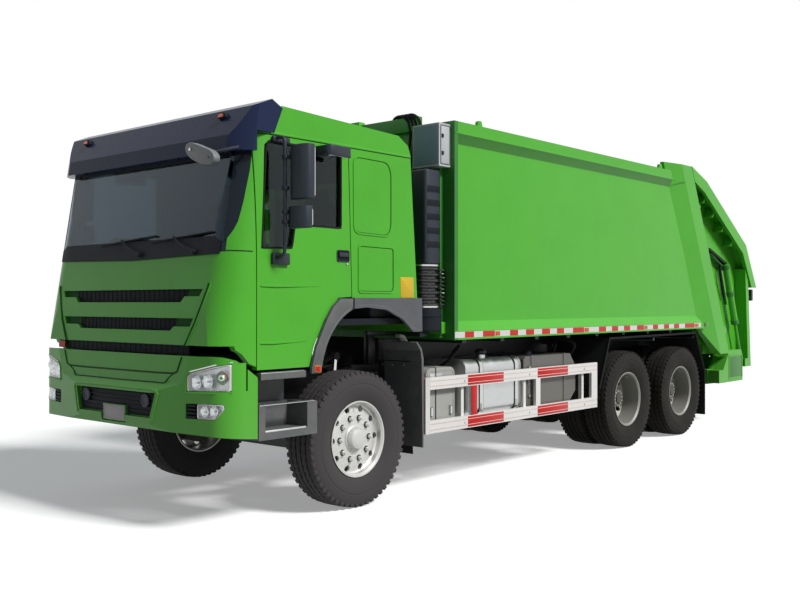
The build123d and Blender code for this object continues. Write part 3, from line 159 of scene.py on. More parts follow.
def ranged(
    tree: Tree, value: Socket, result: Pair,
    source: Pair = (0.0, 1.0),
) -> Socket:
    """Map a value from a source range onto a result range."""
    feeds = {"Value": value, "From Min": source[0], "From Max": source[1], "To Min": result[0],
             "To Max": result[1]}
    return add_node(tree, "ShaderNodeMapRange", feeds).outputs["Result"]


def mixed(tree: Tree, factor: Socket, first: object, second: object) -> Socket:
    """Mix two colours by a factor."""
    return add_node(tree, "ShaderNodeMix", {0: factor, 6: first, 7: second}, data_type="RGBA").outputs[2]


def bumped(
    tree: Tree, height: Socket, strength: float, distance: float
) -> Socket:
    """Turn a height into a bumped normal."""
    feeds = {"Height": height, "Strength": strength, "Distance": distance}
    return add_node(tree, "ShaderNodeBump", feeds).outputs["Normal"]


def principled(tree: Tree, feeds: dict) -> Socket:
    """Add the surface shader, and return it."""
    return add_node(tree, "ShaderNodeBsdfPrincipled", feeds).outputs[0]


# --- Finishes ------------------------------------------------------------------------------------
class Finish:
    """A surface finish, which makes its material once and hands out the same one afterwards."""

    name: str

    def material(self) -> bpy.types.Material:
        """Return the finish's material, made on the first call."""
        made = bpy.data.materials.get(self.name)
        if made is None:
            made = bpy.data.materials.new(self.name)
            made.use_nodes = True
            tree = made.node_tree
            tree.nodes.clear()
            add_node(tree, "ShaderNodeOutputMaterial", {"Surface": self.shade(tree)})
        return made

    def shade(self, tree: Tree) -> Socket:
        """Build the nodes and return the shader's output."""
        raise NotImplementedError


# Colour of road dust, and the height in metres up to which it lies at its thickest.
DUST = "8C8574"
DUST_BOTTOM = 0.3


@dataclass(frozen=True)
class Enamel(Finish):
    """Sprayed two-pack enamel: a coat of even colour with orange peel, and road dust low down.

    Attributes:
        name: The material's name.
        colour: sRGB hex of the clean paint.
        shade_colour: sRGB hex of the paint where it is weathered.
        roughness: Roughness of the clean paint.
        coat: Weight of the clear coat.
        peel_mm: Size of the orange peel, drawn coarser than the real 2 mm so that it shows.
        dust: How much dust lies at the lowest height, from 0 to 1.
        dust_top: Height in metres at which the dust ends.
        metallic: Zero for paint, and more for a coat of metal flakes.
        shine: How strongly the paint itself reflects; a half is the usual for paint.
    """

    name: str
    colour: str
    shade_colour: str
    roughness: float = 0.34
    coat: float = 0.35
    peel_mm: float = 14.0
    dust: float = 0.35
    dust_top: float = 1.3
    metallic: float = 0.0
    shine: float = 0.5

    def shade(self, tree: Tree) -> Socket:
        """Build the paint: weathering in clouds, dust by height, and a peel that breaks the gloss."""
        weather = ranged(tree, noise(tree, 1.7, 6.0, 0.62), (0.0, 0.55), (0.42, 0.72))
        paint = mixed(tree, weather, linear(self.colour), linear(self.shade_colour))
        height = add_node(tree, "ShaderNodeSeparateXYZ", {"Vector": object_place(tree)}).outputs["Z"]
        low = ranged(tree, height, (self.dust, 0.0), (DUST_BOTTOM, self.dust_top))
        # Dust lies in patches about 8 cm across, with finer speckles in them.
        patches = noise(tree, 12.0, 8.0, 0.7)
        dusty = add_node(tree, "ShaderNodeMath", {0: low, 1: patches}, operation="MULTIPLY").outputs[0]
        feeds = {
            "Base Color": mixed(tree, dusty, paint, linear(DUST)),
            "Roughness": ranged(tree, patches, (self.roughness - 0.06, self.roughness + 0.14)),
            "Normal": bumped(tree, noise(tree, 1000 / self.peel_mm, 2.0), 0.06, self.peel_mm * MM),
            "Coat Weight": self.coat, "Coat Roughness": 0.12, "Metallic": self.metallic,
            "Specular IOR Level": self.shine,
        }
        return principled(tree, feeds)


@dataclass(frozen=True)
class Moulding(Finish):
    """Moulded plastic or rubber: a dull skin with a fine cast grain, scuffed lighter where it is dusty.

    Attributes:
        name: The material's name.
        colour: sRGB hex of the clean skin.
        scuffed: sRGB hex of the skin where it is dusty or worn.
        roughness: Roughness of the clean skin.
        grain_mm: Size of the cast grain; finer grains are drawn at 3 mm so that they show.
        wear: How much of the surface is scuffed, from 0 to 1.
        shine: How strongly the skin reflects; a half is the usual for plastic.
    """

    name: str
    colour: str
    scuffed: str
    roughness: float = 0.55
    grain_mm: float = 3.0
    wear: float = 0.4
    shine: float = 0.3

    def shade(self, tree: Tree) -> Socket:
        """Build the skin: scuffs in clouds, and a grain of small cells."""
        clouds = noise(tree, 5.0, 9.0, 0.7)
        worn = ranged(tree, clouds, (0.0, self.wear), (0.4, 0.7))
        cells = {"Vector": object_place(tree), "Scale": 1000 / self.grain_mm}
        grain = add_node(tree, "ShaderNodeTexVoronoi", cells).outputs["Distance"]
        feeds = {
            "Base Color": mixed(tree, worn, linear(self.colour), linear(self.scuffed)),
            "Roughness": ranged(tree, clouds, (self.roughness - 0.08, self.roughness + 0.16)),
            "Normal": bumped(tree, grain, 0.12, self.grain_mm * MM), "Specular IOR Level": self.shine,
        }
        return principled(tree, feeds)


@dataclass(frozen=True)
class BareMetal(Finish):
    """Uncoated or plated metal: bright, with brush or roll marks and dull patches.

    Attributes:
        name: The material's name.
        colour: sRGB hex of the metal's reflection.
        roughness: Roughness of its bright places.
        marks: How many marks to a metre along X, Y and Z; a low number draws them out along that axis.
        dull: Roughness added in its dull patches.
    """

    name: str
    colour: str
    roughness: float = 0.25
    marks: tuple[float, float, float] = (30.0, 600.0, 600.0)
    dull: float = 0.2

    def shade(self, tree: Tree) -> Socket:
        """Build the metal: drawn-out marks in the bump, and clouds in the roughness."""
        drawn = add_node(tree, "ShaderNodeMapping",
                         {"Vector": object_place(tree), "Scale": self.marks}).outputs["Vector"]
        marks = add_node(tree, "ShaderNodeTexNoise",
                         {"Vector": drawn, "Scale": 1.0, "Detail": 3.0}).outputs["Fac"]
        feeds = {
            "Base Color": linear(self.colour), "Metallic": 1.0, "Normal": bumped(tree, marks, 0.08, MM),
            "Roughness": ranged(tree, noise(tree, 7.0, 6.0), (self.roughness, self.roughness + self.dull),
                                (0.3, 0.7)),
        }
        return principled(tree, feeds)


@dataclass(frozen=True)
class Clear(Finish):
    """Glass or a clear moulding: see-through, tinted, and ribbed where it is a lamp's lens.

    Attributes:
        name: The material's name.
        colour: sRGB hex of what passes through.
        ior: Index of refraction.
        roughness: Roughness of the surface.
        rib_mm: Spacing of the lens ribs, or zero for none.
        tint: sRGB hex of what its surface reflects.
    """

    name: str
    colour: str
    ior: float = 1.52
    roughness: float = 0.03
    rib_mm: float = 0.0
    tint: str = "FFFFFF"

    def shade(self, tree: Tree) -> Socket:
        """Build the pane, with fine smears in the roughness, and ribs along the lens."""
        rough = ranged(tree, noise(tree, 9.0, 7.0), (self.roughness, self.roughness + 0.08), (0.4, 0.8))
        feeds = {
            "Base Color": linear(self.colour), "IOR": self.ior, "Transmission Weight": 1.0,
            "Roughness": rough,
            "Specular Tint": linear(self.tint),
        }
        if self.rib_mm:
            waves = {"Vector": object_place(tree), "Scale": 1000 / self.rib_mm / math.pi}
            ribs = add_node(tree, "ShaderNodeTexWave", waves, bands_direction="Y").outputs["Fac"]
            feeds["Normal"] = bumped(tree, ribs, 0.35, 2 * MM)
        return principled(tree, feeds)


@dataclass(frozen=True)
class Reflex(Finish):
    """Retroreflective sheet: a flat colour under clear film, with a honeycomb of sealed cells.

    Attributes:
        name: The material's name.
        colour: sRGB hex of the sheet.
        seam: sRGB hex of the seals between the cells.
        cell_mm: Width of a cell.
    """

    name: str
    colour: str
    seam: str
    cell_mm: float = 11.0

    def shade(self, tree: Tree) -> Socket:
        """Build the sheet: cells from the distance to their edges."""
        honeycomb = {"Vector": object_place(tree), "Scale": 1000 / self.cell_mm, "Randomness": 0.25}
        cells = add_node(tree, "ShaderNodeTexVoronoi", honeycomb,
                         feature="DISTANCE_TO_EDGE").outputs["Distance"]
        edge = ranged(tree, cells, (0.0, 1.0), (0.0, 0.08))
        feeds = {
            "Base Color": mixed(tree, edge, linear(self.seam), linear(self.colour)), "Roughness": 0.35,
            "Specular IOR Level": 0.3, "Normal": bumped(tree, edge, 0.1, MM),
        }
        return principled(tree, feeds)


def seen_rays(tree: Tree) -> Socket:
    """Return a factor of one for the rays that look: the camera's, and those through glass or off metal."""
    path = add_node(tree, "ShaderNodeLightPath").outputs
    seen = add_node(tree, "ShaderNodeMath", {0: path["Is Camera Ray"], 1: path["Is Transmission Ray"]},
                    operation="MAXIMUM")
    return add_node(tree, "ShaderNodeMath", {0: seen.outputs[0], 1: path["Is Glossy Ray"]},
                    operation="MAXIMUM").outputs[0]


@dataclass(frozen=True)
class Ground(Finish):
    """Studio floor: white where it is looked at, with the truck's shadow, and grey in what it throws back.

    Attributes:
        name: The material's name.
        colour: sRGB hex of the floor as it is seen.
        bounce: sRGB hex of the light it throws back.
        glow: Light added where it is seen.
    """

    name: str
    colour: str
    bounce: str
    glow: float = 0.3

    def shade(self, tree: Tree) -> Socket:
        """Build both floors and choose between them by the ray."""
        hues = (self.bounce, self.colour)
        dull, pale = (add_node(tree, "ShaderNodeBsdfDiffuse", {"Color": linear(hue)}) for hue in hues)
        glow = add_node(tree, "ShaderNodeEmission", {"Color": (1, 1, 1, 1), "Strength": self.glow})
        lit = add_node(tree, "ShaderNodeAddShader", {0: pale.outputs[0], 1: glow.outputs[0]})
        return add_node(tree, "ShaderNodeMixShader",
                        {0: seen_rays(tree), 1: dull.outputs[0], 2: lit.outputs[0]}).outputs[0]


# Two-pack truck enamel, sprayed over steel: clear bright green with a soft gloss.
GREEN = Enamel("green_enamel", "4EAE2A", "47A225", coat=0.06, shine=0.3)
# The same enamel darkened as painted shade: deep in a pressed groove, where little light reaches it, and as
# painted shadow along creases, rails and pressed lines.
GROOVE_SHADE_GREEN = Enamel("green_enamel_painted_groove_shade", "1C4A1C", "1C4A1C", roughness=0.6, coat=0.0, dust=0.0,
                      shine=0.1)
# The same enamel on the chassis and packing gear, thinner and dulled by handling; in the tailgate's lower
# corner it is painted shade in the recess.
DARK_GREEN = Enamel("dark_green_enamel", "2F7A2C", "286825", roughness=0.45, coat=0.0, shine=0.4)
# Acrylic gel coat of the sun visor: almost black with a blue cast, and glossy.
NAVY = Enamel("navy_gel_coat", "242E4C", "202A46", roughness=0.22, coat=0.03, dust=0.0, shine=0.08)
# Chassis black: thin satin stoving enamel that shows the road dust.
CHASSIS = Enamel("chassis_black", "1B1D1E", "26282A", roughness=0.5, coat=0.0, dust=0.5, dust_top=1.2)
# Raw iron casting under the same black: rough and matt.
CASTING = Enamel("cast_iron_black", "2A2B2C", "35332F", roughness=0.75, coat=0.0, peel_mm=6.0, dust=0.6,
                 dust_top=1.4)
# Silver wheel enamel with metal flakes, cured on steel.
SILVER = Enamel("silver_wheel_enamel", "D4D3D0", "C2C1BE", roughness=0.36, coat=0.1, dust=0.18, dust_top=1.1,
                metallic=0.35)
# The same silver inside the dish of the twin wheels, darker, and with more road dust.
DULL_SILVER = Enamel("dusty_wheel_enamel", "93938F", "7F7D78", roughness=0.5, coat=0.0, dust=0.5,
                     metallic=0.2)
# White gloss enamel of the side guards.
WHITE = Enamel("white_enamel", "E6E4E0", "D8D5CF", roughness=0.35, coat=0.2, dust=0.2)
# Grey enamel of the front mirror's shell.
MIRROR_GREY = Enamel("mirror_shell_grey", "7A7D7F", "707375", roughness=0.4, coat=0.0, dust=0.0)
# The dark border printed on the edge of the windscreen.
BORDER = Enamel("black_glass_border", "1C2630", "1C2630", roughness=0.12, coat=0.0, dust=0.0, shine=0.12)
# Light grey enamel of the battery box and the mudguard stays. On the side guards' front post it is painted
# shade: a light grey strip on the white side stands for the post's shaded front face.
LIGHT_GREY = Enamel("light_grey_enamel", "A3A39F", "93928D", roughness=0.42, coat=0.1, dust=0.3)
# Dark grey enamel of the oil tank.
OIL_GREY = Enamel("oil_tank_grey", "55534F", "484642", roughness=0.4, coat=0.1, dust=0.4)
# Powder coat of the control box: a fine dimpled skin, cool grey.
BOX_GREY = Enamel("control_box_powder_coat", "C0C2C5", "B6B8BB", roughness=0.5, coat=0.0, peel_mm=5.0,
                  dust=0.0)
# The same coat on the box's front, darkened and blued as painted shade, where it stands in the cab's shade.
BOX_FRONT_SHADE = Enamel("control_box_front_painted_shade", "8E9BB2", "8693AA", roughness=0.5, coat=0.0, peel_mm=5.0, dust=0.0,
                   shine=0.2)
# Injection-moulded ABS of the mirror housings, with a fine leather-like grain.
BLACK_ABS = Moulding("black_abs", "262C36", "343A44", roughness=0.45, grain_mm=3.0, wear=0.3)
# Filled polypropylene of the wheel-arch flares and steps: dark grey, easily scuffed.
FLARE_GREY = Moulding("grey_polypropylene", "55575B", "67686A", roughness=0.58, grain_mm=4.0, wear=0.6)
STEP_GREY = Moulding("step_polypropylene", "5C5E5F", "77756F", roughness=0.5, grain_mm=4.0, wear=0.6)
# Glass-filled nylon of cowl, louvres and grille mesh: matt black.
BLACK_NYLON = Moulding("black_nylon", "14181E", "1E2228", roughness=0.6, grain_mm=3.0, wear=0.3, shine=0.15)
# Extruded rubber of seals, flaps, hoses and bellows: soft black that greys with dust.
RUBBER = Moulding("black_rubber", "151617", "2A2A2A", roughness=0.72, grain_mm=5.0, wear=0.3, shine=0.15)
# Tyre tread compound, browned by dry road dust; its grain is drawn at 7 mm.
TYRE = Moulding("tyre_rubber", "3A3733", "5B554C", roughness=0.82, grain_mm=7.0, wear=0.75)
# The same compound on the twin wheels, darkened as painted shade under the body.
SHADED_REAR_TYRE = Moulding("rear_tyre_rubber", "232220", "3A3733", roughness=0.82, grain_mm=7.0, wear=0.6,
                     shine=0.15)
# Cabin trim: grained grey plastic, and the knitted cloth of seats and bunk.
CABIN_TRIM = Moulding("cabin_trim", "3A3C3F", "45474A", roughness=0.6, grain_mm=3.0, wear=0.2)
SEAT_CLOTH = Moulding("seat_cloth", "2C3340", "3C4453", roughness=0.9, grain_mm=6.0, wear=0.5)
# Glossy rubber of the intake's bellows and the coiled air lines.
COIL = Moulding("glossy_black_rubber", "1B1B1D", "29292B", roughness=0.26, grain_mm=3.0, wear=0.2, shine=0.7)
# Yellow sticker film.
YELLOW = Reflex("yellow_reflector_film", "D9B62B", "B8982A")
# Rolled aluminium of the fuel tank, drawn along its length; clamps of bright stainless strip.
ALUMINIUM = BareMetal("rolled_aluminium", "C4C5C6", roughness=0.3)
STAINLESS = BareMetal("stainless_strip", "CDCDCB", roughness=0.22, dull=0.12)
# Hard chrome of cylinder rods, and the vapour-coated bowls of the lamps.
CHROME = BareMetal("hard_chrome", "D8D9DB", roughness=0.08, dull=0.06)
MIRROR = BareMetal("mirror_silvering", "E4E6E8", roughness=0.03, dull=0.02)
# Laminated windscreen and tempered side glass with a green-blue tint.
SCREEN_GLASS = Clear("laminated_glass", "56707F", tint="9DB6CC")
SIDE_GLASS = Clear("tempered_glass", "5E6C6A", tint="BCC8CC")
# Polycarbonate lamp lenses, clear, amber and red.
LENS = Clear("clear_polycarbonate", "F2F5F6", ior=1.585, rib_mm=16.0)
AMBER = Clear("amber_acrylic", "F08A24", ior=1.49, roughness=0.1, rib_mm=6.0)
# Moulded reflector behind an amber lens.
AMBER_BACK = Reflex("amber_reflector", "F6A53A", "D98422")
RED_LENS = Clear("red_acrylic", "D8201C", ior=1.49, roughness=0.1, rib_mm=6.0)
# Red and white retroreflective films of guards, tape and markers.
RED_PAINT = Reflex("red_reflex_film", "C4140F", "A01210", cell_mm=16.0)
RED_TAPE = Reflex("red_tape", "C4241B", "9E1F18")
WHITE_TAPE = Reflex("white_tape", "DAD9D2", "B9B8B0")
ORANGE_TAPE = Reflex("orange_marker_film", "D9581E", "A9461B")


# --- Geometry Nodes ------------------------------------------------------------------------------
class Spread(Enum):
    """How a Geometry Nodes tree sets out what it makes."""

    RING = "ring"
    ROW = "row"
    PATH = "path"


SOCKETS = {
    Spread.RING: (("Item", "Object"), ("Count", "Int"), ("Radius", "Float"), ("Phase", "Float"),
                  ("Centre", "Vector"),
                  ("Finish", "Material")),
    Spread.ROW: (("Item", "Object"), ("Count", "Int"), ("Start", "Vector"), ("Step", "Vector"),
                 ("Finish", "Material")),
    Spread.PATH: (("Path", "Object"), ("Radius", "Float"), ("Sides", "Int"), ("Finish", "Material")),
}


def spread_tree(spread: Spread) -> Tree:
    """Build the tree of one kind of spread, or return it if it exists.

    Args:
        spread: A ring about Y, a row of copies, or a pipe along a path.

    Returns:
        The tree, with the named inputs of SOCKETS.
    """
    tree = bpy.data.node_groups.get(spread.value)
    if tree:
        return tree
    tree = bpy.data.node_groups.new(spread.value, "GeometryNodeTree")
    for name, kind in SOCKETS[spread]:
        tree.interface.new_socket(name, in_out="INPUT", socket_type=f"NodeSocket{kind}")
    tree.interface.new_socket("Geometry", in_out="OUTPUT", socket_type="NodeSocketGeometry")
    given = add_node(tree, "NodeGroupInput").outputs
    if spread is Spread.PATH:
        line = add_node(tree, "GeometryNodeObjectInfo", {"Object": given["Path"]}).outputs["Geometry"]
        ring = add_node(tree, "GeometryNodeCurvePrimitiveCircle",
                        {"Resolution": given["Sides"], "Radius": given["Radius"]})
        made = add_node(
            tree, "GeometryNodeCurveToMesh", {"Curve": line, "Profile Curve": ring.outputs["Curve"],
                                              "Fill Caps": True}
        ).outputs["Mesh"]
    else:
        item = add_node(tree, "GeometryNodeObjectInfo", {"Object": given["Item"]}).outputs["Geometry"]
        if spread is Spread.ROW:
            points = add_node(
                tree, "GeometryNodeMeshLine",
                {"Count": given["Count"], "Start Location": given["Start"], "Offset": given["Step"]},
            ).outputs["Mesh"]
            made = add_node(tree, "GeometryNodeInstanceOnPoints",
                            {"Points": points, "Instance": item}).outputs["Instances"]
        else:
            # The ring stands in the XY plane with its copies turned about Z, and is then laid over onto Y.
            points = add_node(
                tree, "GeometryNodeMeshCircle", {"Vertices": given["Count"], "Radius": given["Radius"]}
            ).outputs["Mesh"]
            number = add_node(tree, "GeometryNodeInputIndex").outputs["Index"]
            pitch = add_node(tree, "ShaderNodeMath", {0: 2 * math.pi, 1: given["Count"]},
                             operation="DIVIDE").outputs[0]
            angle = add_node(tree, "ShaderNodeMath", {0: number, 1: pitch}, operation="MULTIPLY").outputs[0]
            turn = add_node(tree, "ShaderNodeCombineXYZ", {"Z": angle}).outputs["Vector"]
            copies = add_node(
                tree, "GeometryNodeInstanceOnPoints", {"Points": points, "Instance": item, "Rotation": turn}
            ).outputs["Instances"]
            phase = add_node(tree, "ShaderNodeCombineXYZ", {"Z": given["Phase"]}).outputs["Vector"]
            phased = add_node(tree, "GeometryNodeTransform",
                              {"Geometry": copies, "Rotation": phase}).outputs["Geometry"]
            made = add_node(
                tree, "GeometryNodeTransform",
                {"Geometry": phased, "Translation": given["Centre"], "Rotation": (-math.pi / 2, 0, 0)},
            ).outputs["Geometry"]
    real = add_node(tree, "GeometryNodeRealizeInstances", {"Geometry": made}).outputs["Geometry"]
    done = add_node(tree, "GeometryNodeSetMaterial",
                    {"Geometry": real, "Material": given["Finish"]}).outputs["Geometry"]
    add_node(tree, "NodeGroupOutput", {"Geometry": done})
    return tree


def grow(spread: Spread, inputs: dict[str, object]) -> bpy.types.Mesh:
    """Run a spread's tree once.

    Args:
        spread: Which tree.
        inputs: Its inputs by name; objects among them are removed afterwards.

    Returns:
        The result as a plain mesh.
    """
    tree = spread_tree(spread)
    host = bpy.data.objects.new("host", bpy.data.meshes.new("host"))
    bpy.context.scene.collection.objects.link(host)
    modifier = host.modifiers.new("spread", "NODES")
    modifier.node_group = tree
    for socket in tree.interface.items_tree:
        if socket.in_out == "INPUT":
            modifier[socket.identifier] = inputs[socket.name]
    depsgraph = bpy.context.evaluated_depsgraph_get()
    mesh = bpy.data.meshes.new_from_object(host.evaluated_get(depsgraph))
    host.modifiers.remove(modifier)
    for used in (host, *(value for value in inputs.values() if isinstance(value, bpy.types.Object))):
        bpy.data.objects.remove(used)
    return mesh


# --- Mesh building -------------------------------------------------------------------------------
# An edge turned more than SHARP is rounded, in three steps where the rounding passes LARGE_ROUND in mm.
SHARP = math.radians(25)
LARGE_ROUND = 8
# How much of an edge a corner's rounding may take up from each end.
CORNER_SHARE = 0.49


class View(Enum):
    """The view in which an outline is drawn."""

    SIDE = "station and height, drawn out across the truck"
    FRONT = "side and height, drawn out along the truck"
    PLAN = "station and side, drawn out upwards"

    def point(self, across: float, up: float, depth: float) -> Vector:
        """Place a point of an outline at a depth of its view."""
        if self is View.SIDE:
            return spot(across, depth, up)
        if self is View.FRONT:
            return spot(depth, across, up)
        return spot(across, up, depth)


def circle(centre: Vector, along: Vector, radius: float, sides: int) -> list[Vector]:
    """Return the points of a circle, in metres, about a direction."""
    turn = along.normalized().to_track_quat("Z", "Y")
    return [
        centre + turn @ Vector((math.cos(2 * math.pi * i / sides), math.sin(2 * math.pi * i / sides),
                                0)) * radius
        for i in range(sides)
    ]


def between(table: Line, value: float) -> float:
    """Read a table of (key, result) rows, in rising order of key, at a value between its rows."""
    for (key, result), (next_key, next_result) in zip(table, table[1:]):
        if value <= next_key:
            share = max(0.0, (value - key) / (next_key - key))
            return result + (next_result - result) * share
    return table[-1][1]


def rounded(outline: Line, radius: float, steps: int = 4) -> list[Pair]:
    """Round the corners of a closed outline.

    Args:
        outline: The corners.
        radius: How far from each corner the rounding starts.
        steps: Points on each rounding, less one.

    Returns:
        The points of the rounded outline.
    """
    points = []
    for i, corner in enumerate(outline):
        here = Vector(corner)
        before, after = Vector(outline[i - 1]) - here, Vector(outline[(i + 1) % len(outline)]) - here
        start = here + before.normalized() * min(radius, before.length * CORNER_SHARE)
        end = here + after.normalized() * min(radius, after.length * CORNER_SHARE)
        for k in range(steps + 1):
            t = k / steps
            point = start * (1 - t) ** 2 + here * 2 * t * (1 - t) + end * t * t
            points.append((point.x, point.y))
    return points


@dataclass
class Form:
    """A mesh being made out of closed shells, each with its finish.

    Attributes:
        name: Name of the piece.
        body: The CAD body that it rides on.
        smooth: Angle in degrees above which an edge stays sharp.
        shape: The mesh so far.
        finishes: The finishes in order of their slots.
    """

    name: str
    body: str = "chassis"
    smooth: float = 32.0
    shape: bmesh.types.BMesh = field(default_factory=bmesh.new)
    finishes: list[Finish] = field(default_factory=list)

    def slot_of(self, finish: Finish) -> int:
        """Return the number of the finish's slot, added when it is new."""
        if finish not in self.finishes:
            self.finishes.append(finish)
        return self.finishes.index(finish)

    def hull(self, rings: Sequence[Sequence[Vector]], finish: Finish, looped: bool = False,
             round_mm: float = 0) -> Form:
        """Add a closed shell through rings of equally many points.

        Args:
            rings: The rings in order, in metres.
            finish: The shell's finish.
            looped: Whether the last ring meets the first; otherwise both ends are capped.
            round_mm: How far its sharp edges are rounded.

        Returns:
            This form.
        """
        bm = self.shape
        rows = [[bm.verts.new(point) for point in ring] for ring in rings]
        pairs = list(zip(rows, rows[1:])) + ([(rows[-1], rows[0])] if looped else [])
        faces = []
        for lower, upper in pairs:
            for i in range(len(lower)):
                j = (i + 1) % len(lower)
                faces.append(bm.faces.new((lower[i], lower[j], upper[j], upper[i])))
        if not looped:
            faces += [bm.faces.new(list(reversed(rows[0]))), bm.faces.new(rows[-1])]
        number = self.slot_of(finish)
        for face in faces:
            face.material_index = number
        bmesh.ops.recalc_face_normals(bm, faces=faces)
        if round_mm:
            sharp = (edge for face in faces for edge in face.edges if edge.calc_face_angle(0) > SHARP)
            # A dictionary drops the doubles and keeps the order, so each run gives the same mesh.
            edges = list(dict.fromkeys(sharp))
            segments = 3 if round_mm > LARGE_ROUND else 2
            bmesh.ops.bevel(bm, geom=edges, offset=round_mm * MM, segments=segments, profile=0.5,
                            affect="EDGES",
                            clamp_overlap=True)
        return self

    def cuboid(self, low: Sequence[float], high: Sequence[float], finish: Finish,
               round_mm: float = 0) -> Form:
        """Add a box between two corners given in millimetres of X, Y and Z."""
        (x0, y0, z0), (x1, y1, z1) = [[value * MM for value in corner] for corner in (low, high)]
        rings = [[Vector((x, y, z)) for x, y in ((x0, y0), (x1, y0), (x1, y1), (x0, y1))] for z in (z0, z1)]
        return self.hull(rings, finish, round_mm=round_mm)

    def block(
        self, stations: Pair, sides: Pair, heights: Pair, finish: Finish,
        round_mm: float = 2,
    ) -> Form:
        """Add a box between two stations, two sides and two heights."""
        rings = [[spot(s, y, z) for s, y in ((stations[0], sides[0]), (stations[1], sides[0]),
                                             (stations[1], sides[1]),
                                             (stations[0], sides[1]))] for z in heights]
        return self.hull(rings, finish, round_mm=round_mm)

    def prism(
        self, outline: Line, depths: Pair, finish: Finish,
        view: View = View.SIDE, round_mm: float = 0,
    ) -> Form:
        """Add an outline drawn out between two depths of its view."""
        rings = [[view.point(a, b, depth) for a, b in outline] for depth in depths]
        return self.hull(rings, finish, round_mm=round_mm)

    def panel(
        self, corners: tuple[float, float, float, float], radius: float, depths: Pair, finish: Finish,
        view: View = View.SIDE, round_mm: float = 0,
    ) -> Form:
        """Add an oblong with rounded corners, drawn out between two depths of its view."""
        return self.prism(rounded(oblong(*corners), radius), depths, finish, view, round_mm)

    def bar(self, start: Vector, end: Vector, radius: float, finish: Finish, sides: int = 20,
            round_mm: float = 0) -> Form:
        """Add a round bar between two points, with its radius in millimetres."""
        rings = [circle(point, end - start, radius * MM, sides) for point in (start, end)]
        return self.hull(rings, finish, round_mm=round_mm)

    def lathe(
        self, section: Line, centre: Vector, finish: Finish, steps: int = 64,
        axis: Vector = Y_AXIS,
    ) -> Form:
        """Add a closed section turned about an axis.

        Args:
            section: Points of (distance along the axis, radius) in millimetres.
            centre: Where the axis starts.
            finish: The shell's finish.
            steps: Divisions of the turn.
            axis: The axis.

        Returns:
            This form.
        """
        turn = axis.normalized().to_track_quat("Z", "Y")
        rings = []
        for i in range(steps):
            angle = 2 * math.pi * i / steps
            way = turn @ Vector((math.cos(angle), math.sin(angle), 0))
            rings.append([centre + axis.normalized() * (a * MM) + way * (r * MM) for a, r in section])
        return self.hull(rings, finish, looped=True)

    def pipe(self, points: Iterable[Vector], radius: float, finish: Finish, sides: int = 12,
             bent: bool = True) -> Form:
        """Add a pipe along points, by the path tree.

        Args:
            points: The route, in metres.
            radius: The pipe's radius in millimetres.
            finish: Its finish.
            sides: Sides of its section.
            bent: Whether the route is a smooth curve; otherwise it has straight runs.

        Returns:
            This form.
        """
        route = list(points)
        curve = bpy.data.curves.new("route", "CURVE")
        curve.dimensions = "3D"
        curve.resolution_u = 8
        line = curve.splines.new("NURBS" if bent and len(route) > 2 else "POLY")
        line.points.add(len(route) - 1)
        for point, place in zip(line.points, route):
            point.co = (*place, 1)
        if line.type == "NURBS":
            line.order_u = 3
            line.use_endpoint_u = True
        path = bpy.data.objects.new("route", curve)
        bpy.context.scene.collection.objects.link(path)
        inputs = {"Path": path, "Radius": radius * MM, "Sides": sides, "Finish": finish.material()}
        return self.absorb(grow(Spread.PATH, inputs), finish)

    def sheet(self, grid: Sequence[Sequence[Vector]], thick: Vector, finish: Finish,
              round_mm: float = 0) -> Form:
        """Add a sheet through a grid of points, given thickness by a shift.

        Args:
            grid: Rows of equally many points, in metres.
            thick: The shift from the front face to the back one.
            finish: The sheet's finish.
            round_mm: How far its edges are rounded.

        Returns:
            This form.
        """
        rings = [list(row) + [point + thick for point in reversed(row)] for row in grid]
        return self.hull(rings, finish, round_mm=round_mm)

    def absorb(self, mesh: bpy.types.Mesh, finish: Finish) -> Form:
        """Add a plain mesh, in one finish, and remove it."""
        before = len(self.shape.faces)
        self.shape.from_mesh(mesh)
        self.shape.faces.ensure_lookup_table()
        number = self.slot_of(finish)
        for face in self.shape.faces[before:]:
            face.material_index = number
        bpy.data.meshes.remove(mesh)
        return self

    def ring(
        self, item: Form, count: int, radius: float, centre: Vector, finish: Finish, phase: float = 0.0
    ) -> Form:
        """Add copies of an item in a ring about Y.

        Args:
            item: The copy, with X away from the axis and Z along it.
            count: How many.
            radius: The ring's radius in millimetres.
            centre: The ring's centre.
            finish: The copies' finish.
            phase: The ring's turn in degrees.

        Returns:
            This form.
        """
        inputs = {
            "Item": item.trial(), "Count": count, "Radius": radius * MM, "Phase": math.radians(phase),
            "Centre": centre, "Finish": finish.material(),
        }
        return self.absorb(grow(Spread.RING, inputs), finish)

    def row(self, item: Form, count: int, start: Vector, step: Vector, finish: Finish) -> Form:
        """Add copies of an item in a row, from a start by equal steps."""
        inputs = {"Item": item.trial(), "Count": count, "Start": start, "Step": step,
                  "Finish": finish.material()}
        return self.absorb(grow(Spread.ROW, inputs), finish)

    def cut(self, tool: Form) -> Form:
        """Take another form away from this one."""
        base, cutter = self.trial(), tool.trial()
        modifier = base.modifiers.new("cut", "BOOLEAN")
        modifier.operation = "DIFFERENCE"
        modifier.object = cutter
        depsgraph = bpy.context.evaluated_depsgraph_get()
        mesh = bpy.data.meshes.new_from_object(base.evaluated_get(depsgraph))
        for used in (base, cutter):
            bpy.data.objects.remove(used)
        self.shape = bmesh.new()
        self.shape.from_mesh(mesh)
        bpy.data.meshes.remove(mesh)
        return self

    def mirrored(self, name: str, body: str) -> Form:
        """Return this form's image on the other side of the truck."""
        other = Form(name, body, self.smooth, self.shape.copy(), list(self.finishes))
        bmesh.ops.transform(other.shape, matrix=Matrix.Diagonal((1, -1, 1, 1)), verts=other.shape.verts)
        bmesh.ops.reverse_faces(other.shape, faces=other.shape.faces)
        return other

